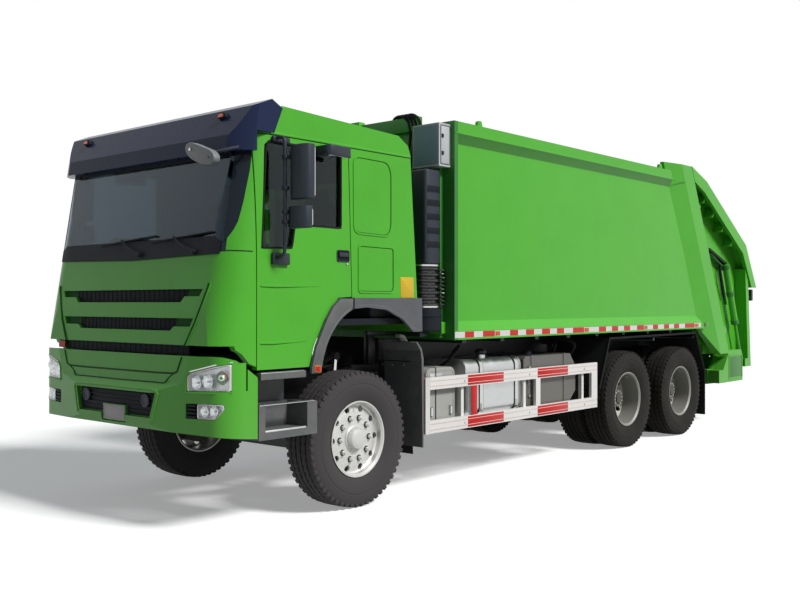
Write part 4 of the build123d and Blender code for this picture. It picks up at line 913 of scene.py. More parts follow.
    def place_both(self, slot: str, *nodes: str) -> None:
        """Place this left piece and its image on the right.

        Args:
            slot: The record's material slot of both.
            *nodes: The CAD nodes that they stand for, without their side.
        """
        other = self.mirrored(self.name.replace("left", "right"), self.body.replace("left", "right"))
        for form, side in ((other, "right"), (self, "left")):
            form.place(slot, *(f"{node}_{side}" for node in nodes))

    def trial(self) -> bpy.types.Object:
        """Make a passing object of the mesh so far."""
        mesh = bpy.data.meshes.new(self.name)
        self.shape.to_mesh(mesh)
        for finish in self.finishes:
            mesh.materials.append(finish.material())
        made = bpy.data.objects.new(self.name, mesh)
        bpy.context.scene.collection.objects.link(made)
        return made

    def place(self, slot: str, *replaced: str) -> bpy.types.Object:
        """Make the finished piece.

        Args:
            slot: The record's material slot of the piece; not used.
            *replaced: The CAD nodes that it stands for.

        Returns:
            The piece, riding on its body.
        """
        piece = self.trial()
        mesh = piece.data
        mesh.polygons.foreach_set("use_smooth", [True] * len(mesh.polygons))
        mesh.set_sharp_from_angle(angle=math.radians(self.smooth))
        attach(piece, self.body)
        if replaced:
            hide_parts(*replaced)
        LOG.info("%s: %d faces on %s", self.name, len(mesh.polygons), self.body)
        return piece

    def band(
        self, outline: Line, depths: Pair, thick: float, finish: Finish,
        view: View = View.SIDE,
    ) -> Form:
        """Add a closed strip round an outline, such as a seal, a lip or a strap.

        Args:
            outline: The inner line of the strip.
            depths: The strip's two edges along the view's depth.
            thick: How far it stands out from the line.
            finish: Its finish.
            view: The view of the outline.

        Returns:
            This form.
        """
        count = len(outline)
        pairs = ((outline[i - 1], outline[i]) for i in range(count))
        area = sum(last[0] * this[1] - this[0] * last[1] for last, this in pairs)
        way = thick if area > 0 else -thick
        rings = []
        for i, point in enumerate(outline):
            here = Vector(point)
            before = (here - Vector(outline[i - 1])).normalized()
            after = (Vector(outline[(i + 1) % count]) - here).normalized()
            out = Vector((before.y + after.y, -before.x - after.x))
            out = out.normalized() * (way / max(0.5, out.normalized().dot(Vector((before.y, -before.x)))))
            outer = here + out
            rings.append([
                view.point(*point, depths[0]), view.point(*outer, depths[0]), view.point(*outer, depths[1]),
                view.point(*point, depths[1]),
            ])
        return self.hull(rings, finish, looped=True)


# --- The CAD's nodes -----------------------------------------------------------------------------
SLOT_FINISHES: dict[str, Finish] = {
    "green_paint": GREEN, "dark_green_paint": DARK_GREEN, "chassis_black": CHASSIS, "cast_grey": CASTING,
    "clear_glass": SIDE_GLASS, "grey_plastic": FLARE_GREY, "black_plastic": BLACK_NYLON,
    "tank_aluminium": ALUMINIUM,
    "white_paint": WHITE, "box_grey": BOX_GREY, "rod_chrome": CHROME, "tyre_rubber": TYRE,
    "wheel_steel": SILVER,
}
NODE_FINISHES: dict[str, Finish] = {
    "visor": NAVY, "windscreen": SCREEN_GLASS, "battery_box": LIGHT_GREY, "hydraulic_tank": OIL_GREY,
    "cab_steps": STEP_GREY, "rear_mudguards": RUBBER, "container_bulkhead": DARK_GREEN,
}


@dataclass
class Nodes:
    """The CAD's own nodes, which keep their form and get the finishes of their slots."""

    objects: dict[str, bpy.types.Object]
    slots: dict[str, str]

    def finish(self) -> None:
        """Give every node the finish of its slot, or its own one."""
        for name, node in self.objects.items():
            finish = NODE_FINISHES.get(name) or SLOT_FINISHES[self.slots[name]]
            for i in range(len(node.data.materials)):
                node.data.materials[i] = finish.material()
            LOG.info("%s keeps its form in %s", name, finish.name)


# --- Surfaces that trim follows ------------------------------------------------------------------
CAB_FRONT_LINE = ((1325, -1425), (1700, -1385), (1976, -1340), (2790, -1180), (2965, -1085), (3050, -880))
CAB_FRONT = -1440
CAB_CORNER = 240
CAB_LIP = 1325
CAB_RAKE = 0.168
CAB_SIDE = 1205
BUMPER_LINE = ((705, -1470), (745, -1500), (975, -1500), (1060, -1455), (1250, -1445))
# Half width of the bumper's straight middle, and how fast it falls back beyond.
BUMPER_FLAT = 480
BUMPER_SWEEP = 0.1375
# Where the bumper's corner starts, and its arc's side, station and radius.
BUMPER_BEND = 1058
BUMPER_ARC = (1032, -1232.3, 190)


def cab_face(side: float, height: float) -> float:
    """Return the station of the cab's front skin at a side and a height."""
    inward = min(max(0.0, abs(side) - CAB_SIDE + CAB_CORNER), CAB_CORNER)
    corner = CAB_FRONT + CAB_CORNER - math.sqrt(CAB_CORNER**2 - inward**2)
    return max(between(CAB_FRONT_LINE, height), corner + CAB_RAKE * (height - CAB_LIP))


def bumper_face(side: float, height: float) -> float:
    """Return the station of the bumper's front skin at a side and a height."""
    across = abs(side)
    plan = CAB_FRONT - 60 + max(0.0, across - BUMPER_FLAT) * BUMPER_SWEEP
    if across > BUMPER_BEND:
        middle, station, radius = BUMPER_ARC
        plan = station - math.sqrt(radius**2 - min(across - middle, radius) ** 2)
    return max(between(BUMPER_LINE, height), plan)


def draped(
    face: Callable[[float, float], float], columns: Sequence[tuple[float, float, float]], rows: int,
    proud: float
) -> list[list[Vector]]:
    """Lay a grid over a front face.

    Args:
        face: The face's station at a side and a height.
        columns: Rows of (side, bottom, top).
        rows: Steps from bottom to top.
        proud: How far the grid stands in front of the face.

    Returns:
        Columns of points.
    """
    grid = []
    for side, bottom, top in columns:
        heights = [bottom + (top - bottom) * i / rows for i in range(rows + 1)]
        grid.append([spot(face(side, height) - proud, side, height) for height in heights])
    return grid


def traced(
    face: Callable[[float, float], float], line: Line, way: int = 1, proud: float = 0
) -> list[Vector]:
    """Lay a line of (side, height) on a front face, on one side of the truck."""
    return [spot(face(side, height) - proud, way * side, height) for side, height in line]


def columns_of(
    bottom: Line, top: Line, count: int
) -> list[tuple[float, float, float]]:
    """Read (side, bottom, top) columns from two tables of (side, height)."""
    start, end = bottom[0][0], bottom[-1][0]
    sides = [start + (end - start) * i / count for i in range(count + 1)]
    return [(side, between(bottom, side), between(top, side)) for side in sides]


# --- Wheels --------------------------------------------------------------------------------------
# Half section of a tyre from the bead to the middle of the tread: (distance from the mid-plane, radius).
TYRE_HALF = (
    (108, 289), (111, 297), (119, 311), (131, 336), (142, 368), (148, 402), (149.5, 425), (149, 432),
    (146.5, 436), (146.5, 441),
    (148.5, 445), (147, 470), (143, 494), (138, 507), (130, 522), (122, 533), (112, 538), (86, 540.5),
    (84, 527), (72, 527),
    (70, 541), (37, 541.7), (35, 527), (21, 527), (19, 542),
)
# Half sections of the rims, by distance outboard of the mid-plane and radius.
RIM_FLANGES = (
    (125, 303), (119, 303), (115, 290), (-115, 290), (-119, 303), (-125, 303), (-125, 293),
)
FRONT_RIM = (
    *RIM_FLANGES, (-112, 279), (-40, 276), (30, 276),
    (46, 262), (54, 230), (60, 200), (60, 100), (76, 100), (76, 203), (70, 236), (62, 262), (70, 276),
    (108, 279), (125, 293),
)
TWIN_RIM = (
    *RIM_FLANGES, (-108, 279), (-100, 276), (-130, 240),
    (-159, 214), (-159, 100), (-143, 100), (-143, 218), (-118, 240), (-84, 276), (110, 279), (125, 293),
)
INNER_RIM = (
    *RIM_FLANGES, (-112, 279), (70, 276), (110, 256),
    (165, 214), (165, 100), (181, 100), (181, 218), (128, 264), (110, 280), (125, 293),
)
HUB_HEIGHT = 542
HOLES, STUDS, BLOCKS = 10, 10, 56
STUD_CIRCLE = 167.5


@dataclass
class Wheel:
    """One wheel on the left with its copy on the right: tyres with tread, and rims with nuts and hub.

    Attributes:
        name: The CAD's name of the wheel without its side.
        station: The axle's station.
        middles: Mid-planes of its tyres.
        disc: Side at which the nuts stand on the disc.
        hub: Side of the hub's outer end.
        hub_radius: Radius of the hub's drum.
    """

    name: str
    station: float
    middles: tuple[float, ...]
    disc: float
    hub: float
    hub_radius: float

    def tyres(self) -> Form:
        """Make the tyres: ribs and grooves in the section, and two rings of shoulder blocks."""
        form = Form(f"tread_{self.name}_left", f"wheel_{self.name}_left", smooth=28)
        # The twin wheels take the rubber darkened as painted shade.
        rubber = TYRE if len(self.middles) == 1 else SHADED_REAR_TYRE
        block = Form("block").cuboid((-26, -17, -13), (11, 17, 13), rubber, round_mm=2.5)
        sipe = Form("sipe").cuboid((-5, -16, -24), (0.8, 16, 24), rubber, round_mm=2)
        for middle in self.middles:
            centre = spot(self.station, middle, HUB_HEIGHT)
            section = [*TYRE_HALF, *((-a, r) for a, r in reversed(TYRE_HALF))]
            form.lathe(section, centre, rubber, steps=120)
            for way in BOTH_WAYS:
                for item, out, radius, turn in ((block, 125, 526, 3.2), (sipe, 53.5, 541, 1.6)):
                    middle_of_ring = centre + Vector((0, way * out * MM, 0))
                    form.ring(item, BLOCKS, radius, middle_of_ring, rubber, phase=turn * way)
        return form

    def rims(self) -> Form:
        """Make the rims: barrels with rolled flanges, disc with hand holes, studs, nuts and the hub."""
        form = Form(f"steel_{self.name}_left", f"wheel_{self.name}_left", smooth=30)
        front = len(self.middles) == 1
        sections = (FRONT_RIM,) if front else (INNER_RIM, TWIN_RIM)
        paint = SILVER if front else DULL_SILVER
        axle = spot(self.station, 0, HUB_HEIGHT)
        holes = Form("holes")
        for i in range(HOLES):
            angle = math.radians(360 / HOLES * i)
            low = axle + Vector((math.cos(angle) * 0.243, self.middles[0] * MM * 0.6,
                                 math.sin(angle) * 0.243))
            holes.bar(low, low + Y_AXIS * 0.8, 27, paint, sides=28)
        for middle, section in zip(self.middles, sections):
            form.lathe(section, spot(self.station, middle, HUB_HEIGHT), paint, steps=96)
        form.cut(holes)
        # Each stud has a dark washer, a flanged nut and its own thread end.
        across = Y_AXIS * MM
        washer = Form("washer").bar(Z_AXIS * -0.002, Z_AXIS * 0.003, 25, RUBBER, sides=20)
        nut, stud, bolt = (
            Form(name).bar(Vector(), Z_AXIS * tall, radius, SILVER, sides=sides, round_mm=rounding)
            for name, tall, radius, sides, rounding in (
                ("nut", 0.026, 18.5, 6, 1.5), ("stud", 0.037, 10.5, 14, 1.5), ("bolt", 0.009, 9, 6, 1),
            )
        )
        face = axle + across * self.disc
        for item, finish in ((washer, RUBBER), (nut, SILVER), (stud, SILVER)):
            form.ring(item, STUDS, STUD_CIRCLE, face, finish)
        end, radius = self.hub, self.hub_radius
        drum = [(self.disc - 20, 0), (self.disc - 20, radius + 6), (self.disc + 6, radius + 5),
                (self.disc + 10, radius - 2)]
        if front:
            drum += [(end - 22, radius - 14), (end - 10, radius - 24), (end - 3, radius - 44), (end, 40),
                     (end, 0)]
        else:
            drum += [(end - 46, radius - 16), (end - 44, radius - 2), (end - 22, radius - 2),
                     (end - 16, radius - 10),
                     (end - 14, 60), (end, 56), (end, 0)]
            form.ring(bolt, 12, radius - 24, axle + across * (end - 18), SILVER, phase=9)
        form.lathe([(a, max(r, 0.5)) for a, r in drum], axle, SILVER if front else CASTING, steps=56)
        # Brake drum behind the disc, and the tyre valve.
        back = self.middles[0] - 120
        form.lathe([(back, 60), (back, 206), (back + 20, 212), (back + 150, 206), (back + 150, 60)], axle,
                   CASTING, steps=48)
        valve = axle + Vector((0.0, (self.middles[-1] + 60) * MM, 0.262))
        form.pipe([valve, valve + Vector((0, 0.03, -0.004)), valve + Vector((0, 0.052, -0.02))], 4, STAINLESS,
                  sides=8)
        return form

    def build(self) -> None:
        """Place both sides."""
        self.tyres().place_both("tyre_rubber", f"tyre_{self.name}")
        self.rims().place_both("wheel_steel", f"rim_{self.name}")


# --- Cab -----------------------------------------------------------------------------------------
@dataclass
class CabFront:
    """Front of the cab: slot meshes, cowl, wipers, front mirror, marker lamps and panel lines."""

    cowl: Pair = (1948, 2098)
    corner: Table = ((1062, 2045), (1104, 2112), (1120, 2150), (1134, 2200), (1146, 2330), (1156, 2560))
    slots: Table = ((1630, 1724, 745), (1424, 1516, 650), (1254, 1330, 800))
    grooves: Table = ((1664, 1732, 735, 948), (1448, 1524, 636, 880))
    marker_height: float = 2975
    crease: Table = ((993, 1764), (985, 1730), (888, 1488), (795, 1325))

    def build(self) -> None:
        """Place the pieces."""
        self.meshes()
        self.panel_lines()
        self.screen_trim()
        self.wipers()
        self.front_mirror()
        self.markers()

    def meshes(self) -> None:
        """Fill the slots of the grille with slats set back behind the skin."""
        form = Form("grille_mesh", "cab", smooth=30)
        for bottom, top, half in self.slots:
            back = cab_face(0, (bottom + top) / 2) + 34
            form.block((back, back + 8), (-half, half), (bottom - 4, top + 4), BLACK_NYLON, round_mm=1)
            slat = Form("slat").block((back - 9, back), (-half, half), (bottom, bottom + 5), BLACK_NYLON,
                                      round_mm=1)
            form.row(slat, 5, Vector((0, 0, 0.006)), Vector((0, 0, (top - bottom) / 5.4 * MM)), BLACK_NYLON)
            web = Form("web").block((back - 7, back), (-half, 4 - half), (bottom, top), BLACK_NYLON,
                                    round_mm=1)
            form.row(web, 25, Vector((0, 0, 0)), Vector((0, (2 * half - 4) / 24 * MM, 0)), BLACK_NYLON)
        form.place("black_plastic")

    def panel_lines(self) -> None:
        """Close the ends of the slots with floors in painted shade, draw the slanting grooves as dark lines
        of painted shade, and draw the shut lines.
        """
        form = Form("front_panel_lines", "cab", smooth=30)
        for way in BOTH_WAYS:
            # The slots' outer ends get floors set back behind the skin, darkened as painted shade.
            for bottom, top, near, far in self.grooves:
                grid = draped(cab_face, [(way * (near + (far - near) * i / 4), bottom,
                                          top) for i in range(5)], 1, -24)
                form.sheet(grid if way > 0 else grid[::-1], Vector((-0.004, 0, 0)), GROOVE_SHADE_GREEN)
            # Each slanting groove is a dark line of painted shade, with a raised green lip beside it.
            lines = [(self.crease, 10, GROOVE_SHADE_GREEN), ([(a + 15, b) for a, b in self.crease], 7, GREEN)]
            shut = [(1035, 1994), (1080, 1993), (1120, 1992), (1150, 1991), (1170, 1990), (1188, 1989),
                    (1198, 1988)]
            for line, radius, finish in (*lines, (shut, 4, BLACK_NYLON)):
                form.pipe(traced(cab_face, line, way), radius, finish, sides=10, bent=False)
        form.place("green_paint")

    def screen_trim(self) -> None:
        """Lay the black band under the windscreen, and its rubber frame."""
        low, high = self.cowl
        sides = range(-1050, 1051, 75)
        columns = [(side, low + abs(side) * 0.02, high - 40 * (abs(side) > 1000)) for side in sides]
        form = Form("cowl_band", "cab")
        form.sheet(draped(cab_face, columns, 3, 5), spot(-4, 0, 0) - spot(0, 0, 0), BLACK_NYLON)
        for way in BOTH_WAYS:
            sides = (1062, 1086, 1104, 1120, 1134, 1146, 1156)
            columns = [(way * side, between(self.corner, side), 2750) for side in sides]
            grid = draped(cab_face, columns, 12, 4)
            form.sheet(grid if way > 0 else grid[::-1], Vector((-0.004, 0, 0)), BORDER)
        columns = [(side, 2672, 2712) for side in range(-1086, 1087, 181)]
        form.sheet(draped(cab_face, columns, 2, 4), Vector((-0.004, 0, 0)), BLACK_NYLON)
        form.place("black_plastic")

    def wipers(self) -> None:
        """Place two wipers parked along the lower edge of the screen."""
        form = Form("wipers", "cab")
        for pivot, tip in ((795, 250), (126, -430)):
            base = spot(cab_face(pivot, 1990) - 12, pivot, 1990)
            form.bar(base + Vector((-0.02, 0, 0)), base + Vector((0.03, 0, 0.004)), 19, BLACK_NYLON,
                     round_mm=3)
            knee = spot(cab_face(pivot - 180, 2050) - 36, pivot - 180, 2062)
            hold = spot(cab_face((pivot + tip) / 2, 2105) - 30, (pivot + tip) / 2 + 20, 2112)
            form.pipe([base + Vector((0.022, 0, 0.004)), knee, hold], 8, BLACK_NYLON, bent=False)
            start = spot(cab_face(tip, 2078) - 13, tip, 2078)
            end = spot(cab_face(tip + 720, 2128) - 13, tip + 720, 2128)
            middle = (start + end) / 2 + Vector((0.002, 0, 0.002))
            form.pipe([start, middle, end], 6, RUBBER)
            form.pipe([start.lerp(end, 0.2) + Vector((0.014, 0, 0)), middle + Vector((0.022, 0, 0)),
                       start.lerp(end, 0.8)
                       + Vector((0.014, 0, 0))], 5, BLACK_NYLON)
        form.place("black_plastic")

    def front_mirror(self) -> None:
        """Place the kidney-shaped mirror that looks down in front of the bumper, with its arm."""
        form = Form("front_mirror", "cab", smooth=40)
        outline = [(800, 2745), (850, 2760), (930, 2735), (1010, 2705), (1080, 2680), (1125, 2640),
                   (1120, 2600), (1080, 2580),
                   (1000, 2585), (900, 2620), (830, 2660), (795, 2705)]
        form.prism(rounded(outline, 26, 3), (-1428, -1372), MIRROR_GREY, View.FRONT, round_mm=16)
        for side, height in ((856, 2706), (1070, 2632)):
            form.bar(spot(-1434, side, height), spot(-1424, side, height), 13, STAINLESS, sides=12,
                     round_mm=3)
        form.pipe(
            spots((-1392, 960, 2680), (-1360, 1060, 2670), (-1330, 1125, 2690), (-1245, 1165, 2712)), 12,
            BLACK_ABS
        )
        form.place("grey_plastic")

    def markers(self) -> None:
        """Place the amber marker lamps on the visor, and the red one beside the grille."""
        form = Form("marker_lamps", "cab")
        for side in (900, -900):
            for reach, drop, stations, finish in (
                (48, 19, (-1188, -1130), BLACK_NYLON), (36, 13, (-1196, -1191), AMBER),
                (36, 13, (-1190, -1180), AMBER_BACK),
            ):
                low, high = self.marker_height - drop, self.marker_height + drop
                outline = [(side - reach, low), (side + reach, low), (side + reach - 8, high),
                           (side - reach + 8, high)]
                form.prism(rounded(outline, 10), stations, finish, View.FRONT, round_mm=2)
        station = cab_face(890, 1300) + 10
        form.panel((-935, -840, 1262, 1316), 8, (station, station + 12), RED_PAINT, View.FRONT)
        form.place("clear_glass")


@dataclass
class CabSides:
    """Both sides of the cab: seals, handles, pressed panels, drip rails, reflectors and mirrors."""

    window: Table = (
        (-1035, 2755), (-1075, 2010), (-775, 2020), (-745, 2195), (-265, 2195), (-265, 2790), (-1000, 2790),
    )
    main_mirror: tuple[float, ...] = (-942, -848, 1330, 1530, 2360, 2745)
    low_mirror: tuple[float, ...] = (-942, -852, 1310, 1510, 2155, 2310)
    drip_rail: tuple[float, float, float] = (-990, 548, 2838)

    def build(self) -> None:
        """Make the left side's pieces, and place them with their copies on the right."""
        self.door_trim().place_both("black_plastic")
        self.pressed().place_both("green_paint")
        self.mirrors().place_both("black_plastic", "door_trim")
        self.lip().place_both("grey_plastic")
        self.stickers().place_both("clear_glass")
        self.door_lines().place_both("green_paint")

    def door_trim(self) -> Form:
        """Make the window's seal, the handle in its recess, and the lock."""
        form = Form("door_fittings_left", "door_left", smooth=38)
        form.band(rounded(self.window, 34), (1182, 1209), -13, RUBBER)
        form.band(rounded(oblong(-312, -188, 1948, 2026), 12), (1200, 1211), 7, BLACK_ABS)
        form.panel((-312, -188, 1948, 2026), 12, (1198, 1206), BLACK_NYLON)
        form.block((-304, -196), (1205, 1219), (1976, 2018), BLACK_ABS, round_mm=6)
        form.bar(spot(-206, 1203, 1927), spot(-206, 1211, 1927), 11, STAINLESS, sides=20, round_mm=2)
        return form

    def pressed(self) -> Form:
        """Make the pressed outlines behind the door and the hatch, each with a line of painted shade inside
        it, and the drip rail with a strip of painted shadow under it.
        """
        form = Form("panel_lines_left", "cab", smooth=40)
        for outline, radius in (
            ([(-165, 2180), (225, 2170), (262, 2240), (262, 2690), (215, 2765), (-170, 2770)], 60),
            ([(-112, 1716), (272, 1716), (290, 1745), (288, 2068), (-112, 2074)], 26),
        ):
            form.band(rounded([(a + 45, b) for a, b in outline], radius, 6), (CAB_SIDE - 2, CAB_SIDE + 6), 14,
                      GREEN)
            # A dark line of painted shade along the inside of each raised band.
            form.band(rounded([(a + 45, b) for a, b in outline], radius, 6), (CAB_SIDE - 2, CAB_SIDE + 1), -5,
                      GROOVE_SHADE_GREEN)
        front, rear, height = self.drip_rail
        form.prism(oblong(front, rear, height - 5, height + 12), (1203, 1213), GREEN, round_mm=4)
        # A dark strip of painted shadow under the drip rail.
        form.prism(oblong(front, rear, height - 10, height - 5), (1204, 1206), GROOVE_SHADE_GREEN)
        return form

    def lip(self) -> Form:
        """Make the flare's rounded inner lip."""
        form = Form("arch_lip_left", "cab", smooth=50)
        route = [(-118, 1603), (40, 1612), (230, 1592), (420, 1516), (560, 1408), (640, 1396)]
        form.pipe([spot(s, 1216, z) for s, z in route], 17, STEP_GREY, sides=14)
        return form

    def mirrors(self) -> Form:
        """Make the rear-view mirrors on their arm, and the flare's front part that swings with the door."""
        form = Form("mirrors_and_flare_left", "door_left", smooth=36)
        for front, rear, near, far, bottom, top in (self.main_mirror, self.low_mirror):
            plan = rounded([(front + 26, near), (rear, near), (rear, far), (front + 26, far),
                            (front, far - 46), (front, near + 46)],
                           24, 4)
            form.prism(plan, (bottom, top), BLACK_ABS, View.PLAN, round_mm=14)
            form.prism(rounded(oblong(near + 12, far - 12, bottom + 14, top - 14), 20),
                       (rear - 2, rear + 3), MIRROR, View.FRONT)
        # Kerb mirror over the window.
        form.prism(rounded([(-600, 1250), (-560, 1235), (-350, 1260), (-320, 1330), (-350, 1400),
                            (-560, 1420), (-600, 1390)], 40),
                   (2715, 2788), BLACK_ABS, View.PLAN, round_mm=18)
        form.prism(rounded([(-575, 1270), (-350, 1285), (-350, 1375), (-575, 1395)], 30), (2711, 2717),
                   MIRROR, View.PLAN)
        tube = [(-950, 1206, 2806), (-950, 1268, 2810), (-950, 1312, 2798), (-950, 1318, 2740),
                (-950, 1318, 2350),
                (-950, 1318, 2050), (-950, 1312, 1966), (-950, 1268, 1950), (-950, 1206, 1950)]
        form.pipe(spots(*tube), 13, BLACK_ABS, sides=16)
        form.pipe(spots((-460, 1206, 2796), (-460, 1250, 2800), (-465, 1300, 2770)), 11, BLACK_ABS)
        for height in (2440, 2660, 2200, 2270):
            form.block((-970, -930), (1303, 1345), (height - 14, height + 14), BLACK_ABS, round_mm=4)
        for bottom, top in ((1900, 1985), (2780, 2822)):
            form.block((-985, -822), (1206, 1236), (bottom, top), BLACK_ABS, round_mm=10)
        flare = [(-299, 1663), (-156, 1663), (-156, 1582), (-262, 1542), (-420, 1382), (-502, 1200),
                 (-516, 1097), (-610, 1097), (-606, 1150), (-560, 1300), (-452, 1500), (-380, 1600)]
        form.prism(flare, (1206, 1231), FLARE_GREY, round_mm=7)
        lip = ((-158, 1588), (-262, 1548), (-420, 1388), (-502, 1206), (-516, 1105))
        form.pipe([spot(s, 1218, z) for s, z in lip], 16, STEP_GREY, sides=14)
        return form

    def stickers(self) -> Form:
        """Make the yellow reflector behind the door."""
        form = Form("side_markers_left", "cab")
        form.prism(rounded([(428, 1668), (596, 1668), (590, 1838), (422, 1838)], 5), (1204, 1207.5), YELLOW,
                   round_mm=0.8)
        return form

    def door_lines(self) -> Form:
        """Make the two creases pressed along the door, each with a dark strip of painted shade under it, and
        the red and amber marker at the flare's foot.
        """
        form = Form("door_creases_left", "door_left", smooth=40)
        for height, front, rear in ((1748, -1080, -500), (1340, -1085, -640)):
            middle = (front * 3 + rear) / 4
            crease = [(front, height + 5), (middle, height + 9), (rear, height), (middle, height - 12),
                      (front, height - 8)]
            form.prism(crease, (1203, 1209), GREEN, round_mm=2.5)
            # A dark strip of painted shade under the crease.
            under = [(front, height - 8), (middle, height - 12), (rear, height), (middle, height - 17),
                     (front, height - 12)]
            form.prism(under, (1203.5, 1206), GROOVE_SHADE_GREEN)
        form.prism(rounded([(-580, 1112), (-512, 1100), (-512, 1158), (-580, 1162)], 10), (1228, 1236),
                   ORANGE_TAPE, round_mm=2)
        form.prism(rounded([(-572, 1118), (-520, 1108), (-520, 1150), (-572, 1154)], 8), (1234, 1238),
                   RED_PAINT, round_mm=1)
        return form


@dataclass
class CabInside:
    """What shows through the glass: dashboard, steering wheel, seats and bunk."""

    seats: Pair = (620, -620)

    def build(self) -> None:
        """Place the inside in one piece that stands for the CAD's blocks."""
        form = Form("cabin_furniture", "cab", smooth=40)
        form.prism([(-1100, 1562), (-762, 1562), (-765, 1760), (-800, 1880), (-880, 1926), (-1100, 1928)],
                   (-1078, 1078), CABIN_TRIM,
                   round_mm=24)
        form.prism([(-900, 1900), (-770, 1890), (-800, 1960), (-900, 1985)], (380, 740), CABIN_TRIM,
                   round_mm=18)
        centre = spot(-700, 560, 2000)
        tilt = Vector((0.41, 0, 0.91))
        form.lathe([(-14, 202), (-9, 191), (5, 188), (14, 200), (12, 214), (-4, 220)], centre, BLACK_ABS,
                   steps=56, axis=tilt)
        form.bar(centre - tilt * 0.36, centre - tilt * 0.01, 30, BLACK_NYLON)
        for way in (Y_AXIS, tilt.cross(Y_AXIS)):
            form.bar(centre - way * 0.2, centre + way * 0.2, 13, BLACK_ABS, sides=12)
        for y in self.seats:
            form.block((-430, 60), (y - 245, y + 245), (1720, 1880), SEAT_CLOTH, round_mm=55)
            form.block((-380, 30), (y - 200, y + 200), (1505, 1735), CABIN_TRIM, round_mm=20)
            form.prism([(-20, 1850), (-40, 2200), (-10, 2430), (60, 2440), (95, 2200), (100, 1850)],
                       (y - 230, y + 230), SEAT_CLOTH,
                       round_mm=48)
            form.prism([(5, 2420), (5, 2560), (70, 2560), (80, 2420)], (y - 130, y + 130), SEAT_CLOTH,
                       round_mm=28)
        form.block((185, 535), (-1095, 1095), (1502, 1700), CABIN_TRIM, round_mm=20)
        form.block((190, 538), (-1090, 1090), (1690, 1945), SEAT_CLOTH, round_mm=50)
        form.place("black_plastic", "cab_interior")


# --- Bumper and lamps ----------------------------------------------------------------------------
@dataclass
class Lamps:
    """Headlamps and fog lamps: clear lens over a bowl with reflectors, and a louvre inboard."""

    head_low: Table = ((856, 1007), (1194, 1016))
    head_top: Table = ((856, 1105), (888, 1132), (1100, 1182), (1194, 1200))
    fog_low: Table = ((952, 818), (1112, 822), (1162, 886))
    fog_top: Table = ((952, 918), (1150, 924), (1162, 914))

    def build(self) -> None:
        """Place lenses and bowls with their copies on the right."""
        self.lenses().place_both("clear_glass")
        bowls = self.bowls()
        bowls.mirrored("lamp_bowls_right", "chassis").place("rod_chrome")
        bowls.place("rod_chrome", "headlamps")

    def lenses(self) -> Form:
        """Make the two lenses, which follow the bumper's skin."""
        form = Form("lamp_lenses_left", smooth=25)
        for low, top in ((self.head_low, self.head_top), (self.fog_low, self.fog_top)):
            form.sheet(draped(bumper_face, columns_of(low, top, 18), 5, -3), Vector((-0.005, 0, 0)), LENS)
        return form

    def bowls(self) -> Form:
        """Make the chrome bowls, the amber turn lamp, the frames and the louvre."""
        form = Form("lamp_bowls_left", smooth=40)
        for low, top, deep in ((self.head_low, self.head_top, -52), (self.fog_low, self.fog_top, -46)):
            grid = draped(bumper_face, columns_of(low, top, 12), 3, deep)
            form.sheet(grid, Vector((-0.006, 0, 0)), ALUMINIUM)
            # A frame round the lens, from the skin back to the bowl.
            rim = [*((side, height) for side, height in low),
                   *((side, height) for side, height in reversed(top))]
            rings = []
            for i, (side, height) in enumerate(rounded(rim, 12, 3)):
                inner = Vector((rim[0][0] + 200, (rim[0][1] + rim[-1][1]) / 2)) - Vector((side, height))
                inner = inner.normalized() * 7
                ring = [(side, height, 2), (side + inner.x, height + inner.y, 2),
                        (side + inner.x, height + inner.y, -50),
                        (side, height, -50)]
                rings.append([spot(bumper_face(a, b) - proud, a, b) for a, b, proud in ring])
            form.hull(rings, SILVER, looped=True)
        bowl = [(-34, 6), (-26, 22), (-10, 42), (8, 54), (10, 51), (-6, 38), (-20, 20), (-28, 6)]
        for side, height, scale in ((922, 1066, 0.96), (1030, 1078, 1.0), (1000, 868, 0.78),
                                    (1085, 872, 0.78)):
            centre = spot(bumper_face(side, height) + 26, side, height)
            form.lathe([(a, r * scale) for a, r in bowl], centre, CHROME, steps=40, axis=X_AXIS)
            form.bar(centre - Vector((0.03, 0, 0)), centre + Vector((0.004, 0, 0)), 9, SILVER, sides=16,
                     round_mm=3)
        turn = spot(bumper_face(1136, 1108) + 32, 1136, 1108)
        out = Vector((0.86, 0.5, 0))
        form.lathe([(a, r * 0.9) for a, r in bowl], turn, CHROME, steps=32, axis=out)
        form.bar(turn - out * 0.022, turn + out * 0.034, 24, AMBER_BACK, sides=24, round_mm=12)
        # The skin closes the corner beside the headlamp, with a pressed lip round the lens.
        form.sheet(draped(bumper_face, [(1196, 1012, 1206), (1209, 1012, 1208), (1221, 1013, 1209)], 1, 2),
                   Vector((-0.03, 0, 0)), GREEN)
        lip = [(1200, 1216), (1100, 1194), (882, 1145), (846, 1112), (842, 996), (1010, 999), (1100, 1001),
               (1196, 1005)]
        form.pipe(traced(bumper_face, lip, proud=1), 6, GREEN, sides=10, bent=False)
        for i in range(4):
            height = 820 + 26 * i
            columns = [(side, height, height + 13) for side in range(842, 950, 18)]
            form.sheet(draped(bumper_face, columns, 1, 1), Vector((-0.022, 0, -0.008)), BLACK_NYLON)
        form.sheet(draped(bumper_face, [(842, 814, 916), (950, 818, 918)], 1, -46), Vector((-0.006, 0, 0)),
                   BLACK_NYLON)
        return form


